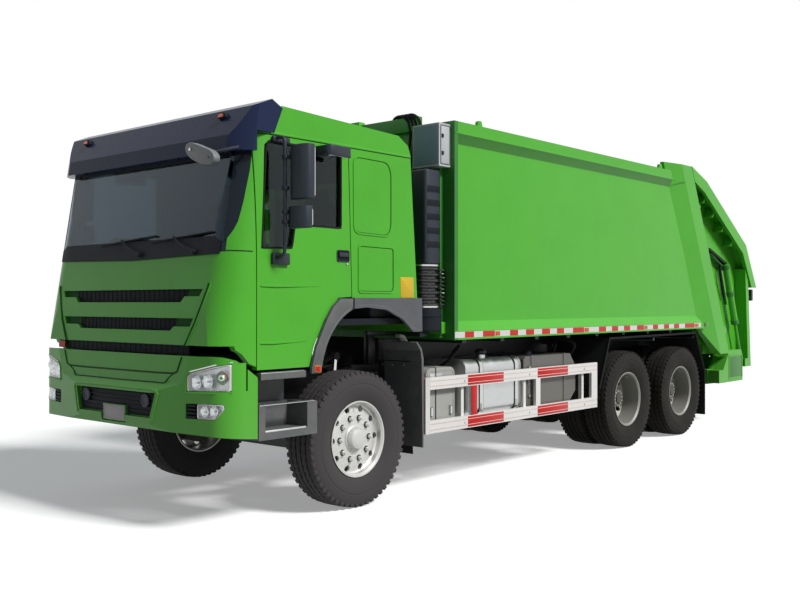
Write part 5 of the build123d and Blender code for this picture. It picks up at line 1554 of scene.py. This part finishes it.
@dataclass
class BumperTrim:
    """The intake's mesh with its two round covers, the blank plate, and the steps' bright treads."""

    def build(self) -> None:
        """Place the pieces."""
        self.intake()
        self.treads()
        self.pressings()

    def pressings(self) -> None:
        """Draw the edges of the sunken panel over the intake as dark lines of painted shade, and the lip
        round the intake.
        """
        form = Form("bumper_pressings", smooth=40)
        ramp = [(786, 1244), (738, 1138), (700, 1124), (590, 1122), (480, 1120)]
        upper = [*((a, b) for a, b in ramp), *((-a, b) for a, b in reversed(ramp))]
        lower = [(600, 1050), (480, 1050), (0, 1048), (-480, 1050), (-600, 1050)]
        lip = [(-500, 770), (-562, 968), (-545, 992), (-480, 1000), (480, 1000), (545, 992), (562, 968),
               (500, 770)]
        # The panel's upper and lower edges are dark lines of painted shade; the lip is raised green.
        for line, radius, finish in ((upper, 7, GROOVE_SHADE_GREEN), (lower, 5, GROOVE_SHADE_GREEN), (lip, 8, GREEN)):
            form.pipe(traced(bumper_face, line), radius, finish, sides=10, bent=False)
        for way in BOTH_WAYS:
            # The panel's slanting ends, also dark lines of painted shade.
            line = [(way * 700, 1124), (way * 640, 1090), (way * 600, 1050)]
            form.pipe(traced(bumper_face, line), 5, GROOVE_SHADE_GREEN, sides=10, bent=False)
        form.place("green_paint")

    def intake(self) -> None:
        """Place the intake's mesh, covers and blank number plate."""
        form = Form("intake_mesh", smooth=35)
        form.block((-1466, -1462), (-500, 500), (795, 970), BLACK_NYLON, round_mm=1)
        slat = Form("slat").block((-1478, -1466), (-500, 500), (800, 806), BLACK_NYLON, round_mm=1)
        form.row(slat, 6, Vector((0, 0, 0)), Vector((0, 0, 0.031)), BLACK_NYLON)
        for side in (395, -395):
            form.lathe([(0, 1), (0, 46), (6, 50), (14, 48), (16, 40), (10, 34), (10, 1)],
                       spot(-1474, side, 912), BLACK_ABS,
                       steps=40, axis=X_AXIS)
        form.place("black_plastic")
        plate = Form("blank_plate", smooth=35)
        plate.panel((-148, 148, 744, 856), 10, (-1492.5, -1489), LIGHT_GREY, View.FRONT,
                    round_mm=1)
        plate.band(rounded(oblong(-138, 138, 754, 846), 8), (-1494.5, -1492), 4, LIGHT_GREY, View.FRONT)
        plate.place("grey_plastic")

    def treads(self) -> None:
        """Place the aluminium tread strips on the steps, with raised grips."""
        form = Form("step_treads", smooth=35)
        for way in BOTH_WAYS:
            for front, rear, height in ((-1070, -645, 1122), (-1085, -545, 893)):
                form.block((front, rear), span(way, 1150, 1203), (height, height + 4), ALUMINIUM, round_mm=1)
                grip = Form("grip").bar(spot(front + 14, way * 1160, height + 6),
                                        spot(front + 14, way * 1195, height + 6), 3,
                                        ALUMINIUM, sides=8)
                count = int((rear - front) / 22)
                form.row(grip, count, Vector((0, 0, 0)), Vector((-0.022, 0, 0)), ALUMINIUM)
            # Bright lower lip along the box's open side.
            form.block((-1035, -640), span(way, 1185, 1208), (702, 716), ALUMINIUM, round_mm=4)
        form.place("tank_aluminium")


# --- Chassis -------------------------------------------------------------------------------------
@dataclass
class FrontArch:
    """What shows in and behind the front wheel arch: stay, flap, shock absorber, bellows and brake pipes."""

    def build(self) -> None:
        """Place the pieces on both sides."""
        self.stay().place_both("grey_plastic")
        self.flap().place_both("black_plastic")
        self.damper().place_both("cast_grey")

    def stay(self) -> Form:
        """Make the light grey formed edge of the mudguard, with its kink."""
        form = Form("mudguard_stay_left", smooth=35)
        line = [(560, 1362), (620, 1352), (690, 1262), (722, 1232), (748, 1120), (752, 560), (728, 560),
                (724, 1116), (702, 1216),
                (674, 1244), (612, 1328), (560, 1336)]
        return form.prism(line, (1030, 1084), LIGHT_GREY, round_mm=3)

    def flap(self) -> Form:
        """Make the rubber flap behind the wheel."""
        form = Form("front_flap_left", smooth=35)
        form.prism([(700, 1130), (712, 1130), (724, 700), (738, 330), (730, 330), (714, 700)], (700, 1078),
                   RUBBER, round_mm=2)
        for side in (760, 880, 1000):
            form.bar(spot(725, side, 1090), spot(690, side, 1090), 9, STAINLESS, sides=12)
        return form

    def damper(self) -> Form:
        """Make the telescopic shock absorber and the air spring beside it."""
        form = Form("front_damper_left", smooth=35)
        low, high = spot(120, 700, 660), spot(180, 690, 1180)
        form.bar(low, low.lerp(high, 0.55), 42, CHASSIS, round_mm=5)
        form.bar(low.lerp(high, 0.5), high, 24, CHROME)
        form.bar(high - Vector((0, 0.03, 0)), high + Vector((0, 0.03, 0)), 34, CASTING, round_mm=4)
        form.pipe([high, spot(170, 560, 1170), spot(160, 440, 1030)], 26, CASTING)
        form.pipe([low, spot(110, 600, 600), spot(60, 520, 590)], 24, CASTING)
        folds = [(0, 20), (0, 66), (8, 82), (24, 66), (40, 84), (56, 66), (72, 84), (88, 66), (104, 82),
                 (112, 64), (112, 20)]
        form.lathe(folds, spot(330, 640, 1060), RUBBER, steps=40, axis=Z_AXIS)
        form.pipe(spots((330, 640, 1060), (330, 560, 1010), (330, 440, 990)), 22, CASTING)
        for shift in (0, 26):
            form.pipe(spots((40 + shift, 840, 640), (90 + shift, 800, 900), (150 + shift, 620, 1090),
                            (160 + shift, 440, 1040)),
                      7, RUBBER, sides=8)
        return form


@dataclass
class SideGuard:
    """White side guards: profile lines, red reflective lengths, and the front post, whose shaded front face
    is a light grey strip of painted shade.
    """

    rails: Table = ((505, 615), (880, 985))
    reds: Table = ((1353, 1908), (2489, 3057))

    def build(self) -> None:
        """Place the red lengths, the grooves and the bolts."""
        form = Form("guard_reflectors", smooth=35)
        for way in BOTH_WAYS:
            for bottom, top in self.rails:
                for front, rear in self.reds:
                    form.block((front, rear), span(way, 1198, 1201.5), (bottom + 8, top - 8), RED_PAINT,
                               round_mm=0.5)
                for height in (bottom + 30, top - 30):
                    form.block((756, 3650), span(way, 1199, 1202.5), (height - 3, height + 3), WHITE,
                               round_mm=1)
            form.block((1408, 1490), span(way, 1196, 1202), (615, 880), RED_PAINT, round_mm=1)
            # Light grey strip of painted shade: the white front post's front face, as it looks in shade.
            form.block((752, 815), span(way, 1198, 1203), (500, 990), LIGHT_GREY, round_mm=2)
            bolt = Form("bolt").bar(spot(1310, way * 1199, 932), spot(1310, way * 1208, 932), 11, STAINLESS,
                                    sides=6, round_mm=1)
            for bottom, top in self.rails:
                shift = Vector((0, 0, ((bottom + top) / 2 - 932) * MM))
                form.row(bolt, 3, shift, Vector((-1.04, 0, 0)), STAINLESS)
        form.place("white_paint")


@dataclass
class Tanks:
    """Straps, caps, hoses and covers of the fuel tank, oil tank, battery box and silencer."""

    def build(self) -> None:
        """Place the pieces."""
        self.fuel()
        self.oil()
        self.battery()
        self.hoses()
        self.exhaust()

    def fuel(self) -> None:
        """Place the fuel tank's straps, end seams and filler cap."""
        form = Form("tank_straps", smooth=40)
        section = rounded(oblong(638, 1142, 588, 1107), 86, 7)
        for station in (1630, 2200):
            form.band(section, (station - 24, station + 24), 5, STAINLESS, View.FRONT)
            form.band(section, (station - 32, station + 32), 2, RUBBER, View.FRONT)
            form.bar(spot(station, 1150, 640), spot(station, 1150, 700), 9, STAINLESS, sides=12)
        for station in (1392, 2262):
            form.band(section, (station - 3, station + 8), 3, ALUMINIUM, View.FRONT)
        form.place("tank_aluminium")
        cap = Form("filler_cap", smooth=35)
        ribs = [(0, 1), (0, 54), (22, 56), (26, 50), (28, 1)]
        cap.lathe(ribs, spot(1830, 990, 1150), BLACK_ABS, steps=40, axis=Z_AXIS)
        cap.block((1816, 1844), (948, 1032), (1174, 1192), BLACK_ABS, round_mm=6)
        cap.place("black_plastic")

    def oil(self) -> None:
        """Place the oil tank's breather, gauge and bands."""
        form = Form("oil_tank_fittings", smooth=35)
        for station in (2480, 3080):
            form.band([(598, 1102), (598, 598), (1142, 598), (1142, 1102)], (station - 20, station + 20), 4,
                      OIL_GREY, View.FRONT)
        form.lathe([(0, 1), (0, 40), (30, 44), (42, 36), (50, 1)], spot(2600, 1000, 1100), BLACK_ABS,
                   axis=Z_AXIS, steps=32)
        form.bar(spot(2420, 1146, 720), spot(2420, 1146, 980), 10, LENS, sides=16)
        for height in (712, 988):
            form.block((2402, 2438), (1138, 1158), (height - 14, height + 14), STAINLESS, round_mm=4)
        form.place("grey_plastic")

    def battery(self) -> None:
        """Place the battery box's lid line, plate, latches and grip."""
        form = Form("battery_box_cover", smooth=35)
        form.band(rounded(oblong(637, 1143, 585, 1062), 14), (960, 968), 3, RUBBER, View.FRONT)
        form.panel((880, 1060, 900, 1010), 10, (1139, 1143), ALUMINIUM, round_mm=1)
        form.band(rounded(oblong(858, 1212, 600, 1030), 40, 5), (1138, 1144), 9, LIGHT_GREY)
        for station in (900, 1170):
            form.block((station - 16, station + 16), (1140, 1156), (640, 720), STAINLESS, round_mm=4)
        form.place("grey_plastic")

    def hoses(self) -> None:
        """Place the black hose loops round the tanks."""
        form = Form("tank_hoses", smooth=50)
        for radius, *line in (
            (15, (1250, 700, 960), (1260, 1010, 1060), (1300, 1100, 1180), (1400, 1080, 1250),
             (1450, 960, 1180),
             (1480, 900, 1110)),
            (19, (3290, 760, 900), (3400, 900, 980), (3430, 1040, 1120), (3400, 1080, 1210),
             (3340, 900, 1260),
             (3320, 700, 1290)),
            (14, (3250, 900, 1098), (3260, 920, 1180), (3330, 860, 1230), (3420, 640, 1270)),
            (11, (1180, 800, 1050), (1190, 780, 1150), (1160, 600, 1190), (1080, 470, 1060)),
        ):
            form.pipe(spots(*line), radius, RUBBER)
        form.place("black_plastic")

    def exhaust(self) -> None:
        """Place the silencer's end bands, pipe and guard, and the air tanks' bands."""
        form = Form("exhaust_fittings", smooth=35)
        for station in (845, 1240):
            form.lathe([(0, 200), (0, 238), (14, 240), (28, 238), (28, 200)], spot(station, -860, 840),
                       STAINLESS, axis=-X_AXIS)
        form.pipe(spots((1230, -860, 760), (1330, -860, 700), (1380, -960, 640), (1382, -1080, 610)), 48,
                  STAINLESS, sides=24)
        form.pipe(spots((860, -860, 800), (790, -800, 790), (780, -640, 860), (700, -460, 960)), 48, CASTING,
                  sides=24)
        for height in (700, 960):
            for station in (1480, 2120):
                form.lathe([(0, 100), (0, 118), (30, 118), (30, 100)], spot(station, -820, height), CHASSIS,
                           axis=-X_AXIS, steps=40)
        form.place("cast_grey")


@dataclass
class BehindCab:
    """Air intake with its ringed bellows, the control box's doors, pipes and the gear on the body's front.

    Attributes:
        folds: Folds of the bellows.
        fold_pitch: Height of a fold.
        coil_points: Points along each coiled air line.
        coil_turn: Its turn from point to point, in radians.
        coil_rise: Its rise from point to point.
        bellows: Station and side of the bellows' axis.
    """

    folds: int = 7
    fold_pitch: float = 52
    coil_points: int = 105
    coil_turn: float = 0.6
    coil_rise: float = 3.2
    bellows: Pair = (915, 1050)

    def build(self) -> None:
        """Place the pieces."""
        self.intake()
        self.box()
        self.gear()

    def intake(self) -> None:
        """Place the intake in one piece: duct, bellows and filter housing."""
        form = Form("intake_duct", smooth=40)
        form.prism(rounded(oblong(802, 1008, 907, 1173), 45, 5), (1962, 2778), BLACK_ABS, View.PLAN,
                   round_mm=14)
        for height in range(2100, 2700, 120):
            form.block((822, 988), (1170, 1176), (height, height + 60), BLACK_NYLON, round_mm=3)
        rings = [(0, 60), (0, 112)]
        for i in range(self.folds):
            start = self.fold_pitch * i
            rings += [(start + 10, 112), (start + 20, 133), (start + 36, 133), (start + 46, 112)]
        rings += [(380, 112), (380, 60)]
        form.lathe(rings, spot(*self.bellows, 1582), COIL, steps=56, axis=Z_AXIS)
        # Coiled air lines between the bellows and the body's front.
        for station, side in ((1052, 1120), (1062, 1010)):
            turns = [
                (station + 34 * math.cos(i * self.coil_turn), side + 44 * math.sin(i * self.coil_turn),
                 1600 + self.coil_rise * i)
                for i in range(self.coil_points)
            ]
            form.pipe(spots(*turns), 8, COIL, sides=8, bent=False)
        form.block((1046, 1062), (372, 1125), (1576, 1592), CHASSIS, round_mm=3)
        clamp = [(0, 100), (0, 136), (14, 138), (14, 100)]
        for height in (1584, 1942):
            form.lathe(clamp, spot(*self.bellows, height), STAINLESS, steps=56, axis=Z_AXIS)
        form.lathe([(0, 1), (0, 140), (12, 153), (120, 153), (124, 158), (136, 158), (140, 153), (196, 148),
                    (205, 110), (205, 1)],
                   spot(*self.bellows, 1380), BLACK_NYLON, steps=56, axis=Z_AXIS)
        form.block((868, 962), (418, 1045), (1330, 1376), CHASSIS, round_mm=6)
        form.block((870, 960), (372, 430), (1062, 1376), CHASSIS, round_mm=5)
        form.place("black_plastic", "air_intake")

    def box(self) -> None:
        """Place the control box's door lines, latches and its front face, darker as painted shade."""
        form = Form("control_box_doors", smooth=35)
        form.band(rounded(oblong(962, 1086, 2836, 3170), 8), (1199, 1203), 4, RUBBER)
        form.panel((966, 1082, 2840, 3166), 7, (1199, 1202), BOX_GREY, round_mm=1)
        for height in (2930, 3080):
            form.block((972, 998), (1201, 1211), (height - 16, height + 16), BLACK_ABS, round_mm=3)
        # The front face in painted shade.
        form.panel((912, 1188, 2830, 3176), 9, (936, 940.5), BOX_FRONT_SHADE, View.FRONT, round_mm=1)
        form.place("box_grey")

    def gear(self) -> None:
        """Place beam, block, hoses and frame on the front of the body."""
        form = Form("front_gear", smooth=40)
        for front, sides, heights, finish, rounding in (
            (1015, (-60, 175), (3120, 3330), GREEN, 6), (1040, (175, 880), (3170, 3300), DARK_GREEN, 5),
            (1050, (-900, -60), (3150, 3232), DARK_GREEN, 5),
        ):
            form.block((front, 1100), sides, heights, finish, rounding)
        for i, side in enumerate((560, 600, 640, 690)):
            form.pipe(spots((1070, side, 3296), (1050, side + 30, 3322), (1030, side + 150, 3320),
                            (1040, side + 220, 3250), (1050, side + 230, 3050), (1060, 480 + 60 * i, 1500)),
                      13, RUBBER, sides=10)
        for side in (-1120, 1060):
            form.block((1056, 1100), (side, side + 60), (1320, 3200), DARK_GREEN, round_mm=4)
        for height in (1500, 2100, 2700):
            form.block((1070, 1100), (-1060, 1060), (height, height + 70), DARK_GREEN, round_mm=4)
        form.panel((1012, 1148, 1352, 1458), 10, (1040, 1100), GREEN, View.FRONT, round_mm=4)
        form.place("green_paint")


# --- Body ----------------------------------------------------------------------------------------
# The outer face of the container's posts, and the two sides between which the tailgate's recess lies.
BODY_FACE = 1244
RECESS, RECESS_EDGE = 1070, 1200


@dataclass
class BodyTrim:
    """The container's tape, markers, lugs and weld lines, and the rear mudguards' edge."""

    reds: Table = (
        (1249, 1382), (1518, 1700), (1947, 2080), (2216, 2355), (2497, 2643), (2773, 2906), (3081, 3300),
        (3613, 3764), (3896, 4031),
        (4168, 4308), (4474, 4640), (4870, 4998), (5154, 5287), (5423, 5561), (5729, 6000),
    )
    ambers: Table = ((1705, 1784), (3305, 3400), (4646, 4730), (6010, 6120))

    def build(self) -> None:
        """Place the pieces."""
        tape = Form("reflective_tape", smooth=35)
        for way in BOTH_WAYS:
            tape.block((1106, 6195), span(way, BODY_FACE, BODY_FACE + 1.8), (1317, 1371), WHITE_TAPE,
                       round_mm=0)
            for front, rear in self.reds:
                tape.block((front, rear), span(way, BODY_FACE + 1, BODY_FACE + 2.6), (1318, 1370), RED_TAPE,
                           round_mm=0)
            for front, rear in self.ambers:
                tape.block((front, rear), span(way, BODY_FACE + 1, BODY_FACE + 5), (1322, 1366), ORANGE_TAPE,
                           round_mm=2)
        tape.place("white_paint")
        form = Form("body_fittings", smooth=35)
        for way in BOTH_WAYS:
            for station in (1560, 5200):
                low, high = span(way, 1150, 1185)
                form.prism(rounded([(station - 45, 3215), (station + 45, 3215), (station + 25, 3290),
                                    (station - 25, 3290)], 18),
                           (low, high), GREEN, round_mm=4)
            low, high = span(way, 1243, 1257)
            form.panel((6300, 6395, 1318, 1372), 14, (low, high), AMBER, round_mm=4)
            # Weld beads along the recess's upper and lower edges.
            for height, side in ((3119, 1246), (1375, 1244)):
                form.pipe(spots((1112, way * side, height),
                                (5740 if height > 2000 else 6240, way * side, height)), 4, GREEN, sides=8)
        form.place("green_paint")
        edge = Form("mudguard_edges", smooth=35)
        line = [(3680, 700), (3905, 1240), (6110, 1250), (6380, 760), (6380, 190)]
        for way in BOTH_WAYS:
            edge.pipe([spot(s, way * 1211, z) for s, z in line], 9, RUBBER, sides=10, bent=False)
            for station in (3930, 5000, 6090):
                edge.bar(spot(station, way * 440, 1180), spot(station, way * 1190, 1196), 17, CHASSIS)
        edge.place("black_plastic")


@dataclass
class TailTrim:
    """The tailgate's ribs, pipes, cylinder collars, lamps and reflectors."""

    def build(self) -> None:
        """Place the pieces."""
        self.ribs()
        self.pipes()
        self.collars()
        self.lamps()

    def ribs(self) -> None:
        """Place stiffeners in the recess, square to the cover's slope, and along the rear edge."""
        form = Form("tailgate_ribs", "tailgate", smooth=35)
        for way in BOTH_WAYS:
            low, high = span(way, RECESS, RECESS_EDGE)
            for station, height in ((6480, 3080), (6760, 2915), (7060, 2738), (7360, 2562)):
                slope = Vector((0.862, -0.507))
                down = Vector((-0.507, -0.862))
                start = Vector((station, height))
                corners = [start, start + slope * 14, start + slope * 14 + down * 190, start + down * 190]
                form.prism([tuple(corner) for corner in corners], (low, high), GREEN, round_mm=2)
            for station, height in ((7905, 2010), (7968, 1700), (7960, 1400)):
                form.prism(oblong(station - 150, station + 20, height, height + 14),
                           span(way, RECESS, RECESS_EDGE - 30), GREEN, round_mm=2)
            # Channel under the slide cylinder, and the recess of the lower corner as a dark plate of painted
            # shade.
            form.prism([(7150, 900), (7540, 900), (7560, 620), (7150, 620)], span(way, 1222, 1228),
                       DARK_GREEN, round_mm=2)
            form.band(rounded([(7140, 610), (7580, 610), (7556, 912), (7140, 912)], 14),
                      span(way, 1222, 1231), 14, GREEN)
        form.place("green_paint")

    def pipes(self) -> None:
        """Place the hydraulic pipes and hoses that run down the post and over to the cylinders."""
        form = Form("tailgate_pipes", "tailgate", smooth=50)
        for way in BOTH_WAYS:
            for i in range(3):
                side = way * (1084 + 26 * i)
                form.pipe(spots((6190 + 34 * i, side, 3010), (6300 + 30 * i, side, 2780),
                                (6560 + 30 * i, side, 2360), (6700 + 20 * i, side, 2290),
                                (7160, side, 2150 - 20 * i)), 11, DARK_GREEN, sides=10)
            form.prism([(6640, 2345), (7200, 2170), (7200, 2140), (6640, 2315)],
                       span(way, RECESS, RECESS_EDGE - 22), GREEN, round_mm=3)
            form.pipe(spots((7150, way * 1100, 2190), (7060, way * 1130, 2120), (7120, way * 1120, 1900),
                            (7240, way * 1110, 1700)), 15, RUBBER)
            form.pipe(spots((6960, way * 1110, 1500), (6900, way * 1130, 1300), (7000, way * 1120, 1050),
                            (7120, way * 1100, 1000)), 13, RUBBER)
        form.place("dark_green_paint")

    def collars(self) -> None:
        """Place the glands and clevis collars of the cylinders."""
        slide, lift = Vector((-0.376, 0, -0.927)), (spot(7060, 0, 1250) - spot(6250, 0, 2850)).normalized()
        outer = Form("slide_cylinder_glands", "carriage", smooth=35)
        inner = Form("lift_cylinder_glands", "lift_barrels", smooth=35)
        gland = [(0, 40), (0, 51), (10, 53), (52, 53), (62, 50), (62, 40)]
        for way in BOTH_WAYS:
            top = spot(7170, way * 1160, 2150)
            for reach in (8, 400, 815):
                outer.lathe(gland, top + slide * (reach * MM), DARK_GREEN, steps=36, axis=slide)
            head = spot(6250, way * 1160, 2850)
            for reach in (40, 560, 1085):
                inner.lathe([(a, r - 7) for a, r in gland], head + lift * (reach * MM), DARK_GREEN, steps=36,
                            axis=lift)
        outer.place("dark_green_paint")
        inner.place("dark_green_paint")

    def lamps(self) -> None:
        """Place the rear lamps in their black housings, side reflectors and chevrons of tape."""
        form = Form("rear_lamps", "tailgate", smooth=35)
        for way in BOTH_WAYS:
            low, high = span(way, 880, 1200)
            form.panel((low, high, 1655, 1815), 16, (7985, 8044), BLACK_ABS, View.FRONT, round_mm=8)
            for i, lens in enumerate((RED_LENS, AMBER, RED_LENS)):
                centre = spot(8028, way * (935 + 105 * i), 1735)
                form.lathe([(0, 1), (0, 44), (14, 44), (20, 36), (22, 1)], centre, lens, steps=32,
                           axis=-X_AXIS)
            low, high = span(way, 1069, 1078)
            form.panel((7000, 7096, 1010, 1066), 6, (low, high), RED_PAINT, round_mm=2)
            form.panel((7000, 7096, 1070, 1110), 6, (low, high), WHITE_TAPE, round_mm=2)
            low, high = span(way, 700, 1000)
            form.prism(oblong(low, high, 830, 880), (7975, 7978.5), RED_TAPE, View.FRONT)
        form.place("black_plastic")


@dataclass
class Underbody:
    """What hangs under the truck: spring leaves, brake chambers, drag link, axle casing and pipes."""

    def build(self) -> None:
        """Place the pieces."""
        form = Form("underbody_fittings", smooth=35)
        for way in BOTH_WAYS:
            for i in range(5):
                half = 620 - 110 * i
                low, high = span(way, 352, 428)
                line = [(-half, 560 + half * 0.16 + 4), (0, 516 - 14 * i), (half, 560 + half * 0.16 + 4),
                        (half, 548 + half * 0.16),
                        (0, 502 - 14 * i), (-half, 548 + half * 0.16)]
                form.prism([(a, b - 28) for a, b in line], (low, high), CHASSIS, round_mm=1)
            for station in REAR_AXLES:
                centre = spot(station - 190, way * 250, 640)
                form.lathe([(0, 1), (0, 70), (20, 84), (60, 88), (66, 92), (76, 92), (82, 86), (150, 80),
                            (170, 1)], centre, CHASSIS,
                           steps=32, axis=X_AXIS)
            form.lathe([(0, 1), (0, 60), (20, 76), (60, 80), (66, 84), (76, 84), (82, 78), (120, 1)],
                       spot(90, way * 640, 640), CHASSIS,
                       steps=32, axis=-X_AXIS)
            for shift in (0, 40):
                form.pipe(spots((900, way * (372 - shift), 880), (2600, way * (372 - shift), 868),
                                (4200, way * (372 - shift), 880), (6200, way * (372 - shift), 900)), 9,
                          RUBBER, sides=8)
        form.bar(spot(-60, 455, 610), spot(-900, 455, 780), 19, CHASSIS)
        form.bar(spot(176, -850, 436), spot(176, 850, 436), 18, CHASSIS)
        form.lathe([(0, 1), (0, 150), (30, 214), (200, 220), (262, 180), (290, 90), (290, 1)],
                   spot(REAR_AXLES[0], -145, HUB_HEIGHT), CASTING,
                   steps=40)
        form.place("chassis_black")


# --- Stage ---------------------------------------------------------------------------------------
@dataclass
class Studio:
    """Plain pale floor, soft light at a plain level, white background and the camera."""

    place: tuple[float, float, float] = (8.852, 6.438, 1.626)
    look: tuple[float, float, float] = (-0.7535, -0.6575, 0.0029)
    lens: float = 43.46
    floor_half: float = 40000
    # Of each light: direction from the truck, strength, and angular size in degrees.
    key: tuple[tuple[float, float, float], float, float] = ((-0.12, 0.72, 0.68), 3.45, 14)
    fill: tuple[tuple[float, float, float], float, float] = ((0.85, -0.1, 0.5), 0.05, 60)
    world_colour: str = "D4E2F4"
    world_strength: float = 0.13

    def build(self) -> None:
        """Set up floor, lights, world and camera."""
        scene = bpy.context.scene
        scene.view_settings.view_transform = "Standard"
        half = self.floor_half
        paint = Ground("floor_paint", "F4F4F2", "949492")
        floor = Form("floor").cuboid((-half, -half, -60), (half, half, 0), paint)
        floor.trial()
        self.light("key", *self.key)
        self.light("fill", *self.fill)
        world = bpy.data.worlds.new("studio")
        scene.world = world
        world.use_nodes = True
        tree = world.node_tree
        tree.nodes.clear()
        soft = add_node(tree, "ShaderNodeBackground",
                        {"Color": linear(self.world_colour), "Strength": self.world_strength})
        white = add_node(tree, "ShaderNodeBackground", {"Color": (1, 1, 1, 1), "Strength": 1.0})
        mix = add_node(tree, "ShaderNodeMixShader",
                       {0: seen_rays(tree), 1: soft.outputs[0], 2: white.outputs[0]})
        add_node(tree, "ShaderNodeOutputWorld", {"Surface": mix.outputs[0]})
        camera = bpy.data.objects.new("camera", bpy.data.cameras.new("camera"))
        camera.data.lens = self.lens
        camera.data.clip_end = 200
        camera.location = self.place
        camera.rotation_euler = Vector(self.look).to_track_quat("-Z", "Y").to_euler()
        scene.collection.objects.link(camera)
        scene.camera = camera

    def light(self, name: str, towards: tuple[float, float, float], strength: float, spread: float) -> None:
        """Add a sun light with a soft edge.

        Args:
            name: Its name.
            towards: Direction from the truck to the light.
            strength: Its strength.
            spread: Its angular size in degrees.
        """
        lamp = bpy.data.lights.new(name, "SUN")
        lamp.energy = strength
        lamp.angle = math.radians(spread)
        made = bpy.data.objects.new(name, lamp)
        made.rotation_euler = Vector(towards).to_track_quat("Z", "Y").to_euler()
        bpy.context.scene.collection.objects.link(made)


def main() -> None:
    """Dress the truck."""
    logging.basicConfig(level=logging.INFO, format="%(name)s: %(message)s")
    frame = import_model()
    Nodes(frame["nodes"],
          {part["node"]: part["material_slot"] for part in frame["record"]["subparts"]}).finish()
    twins = (745.0, 1085.0)
    Wheel("front", 0, (1011.0,), 1087, 1149, 100).build()
    for number, station in enumerate(REAR_AXLES, 1):
        Wheel(f"rear_{number}", station, twins, 943, 1104, 104).build()
    for group in (CabFront(), CabSides(), CabInside(), Lamps(), BumperTrim(), FrontArch(), SideGuard(),
                  Tanks(), BehindCab(),
                  BodyTrim(), TailTrim(), Underbody(), Studio()):
        group.build()


if __name__ == "__main__":
    main()
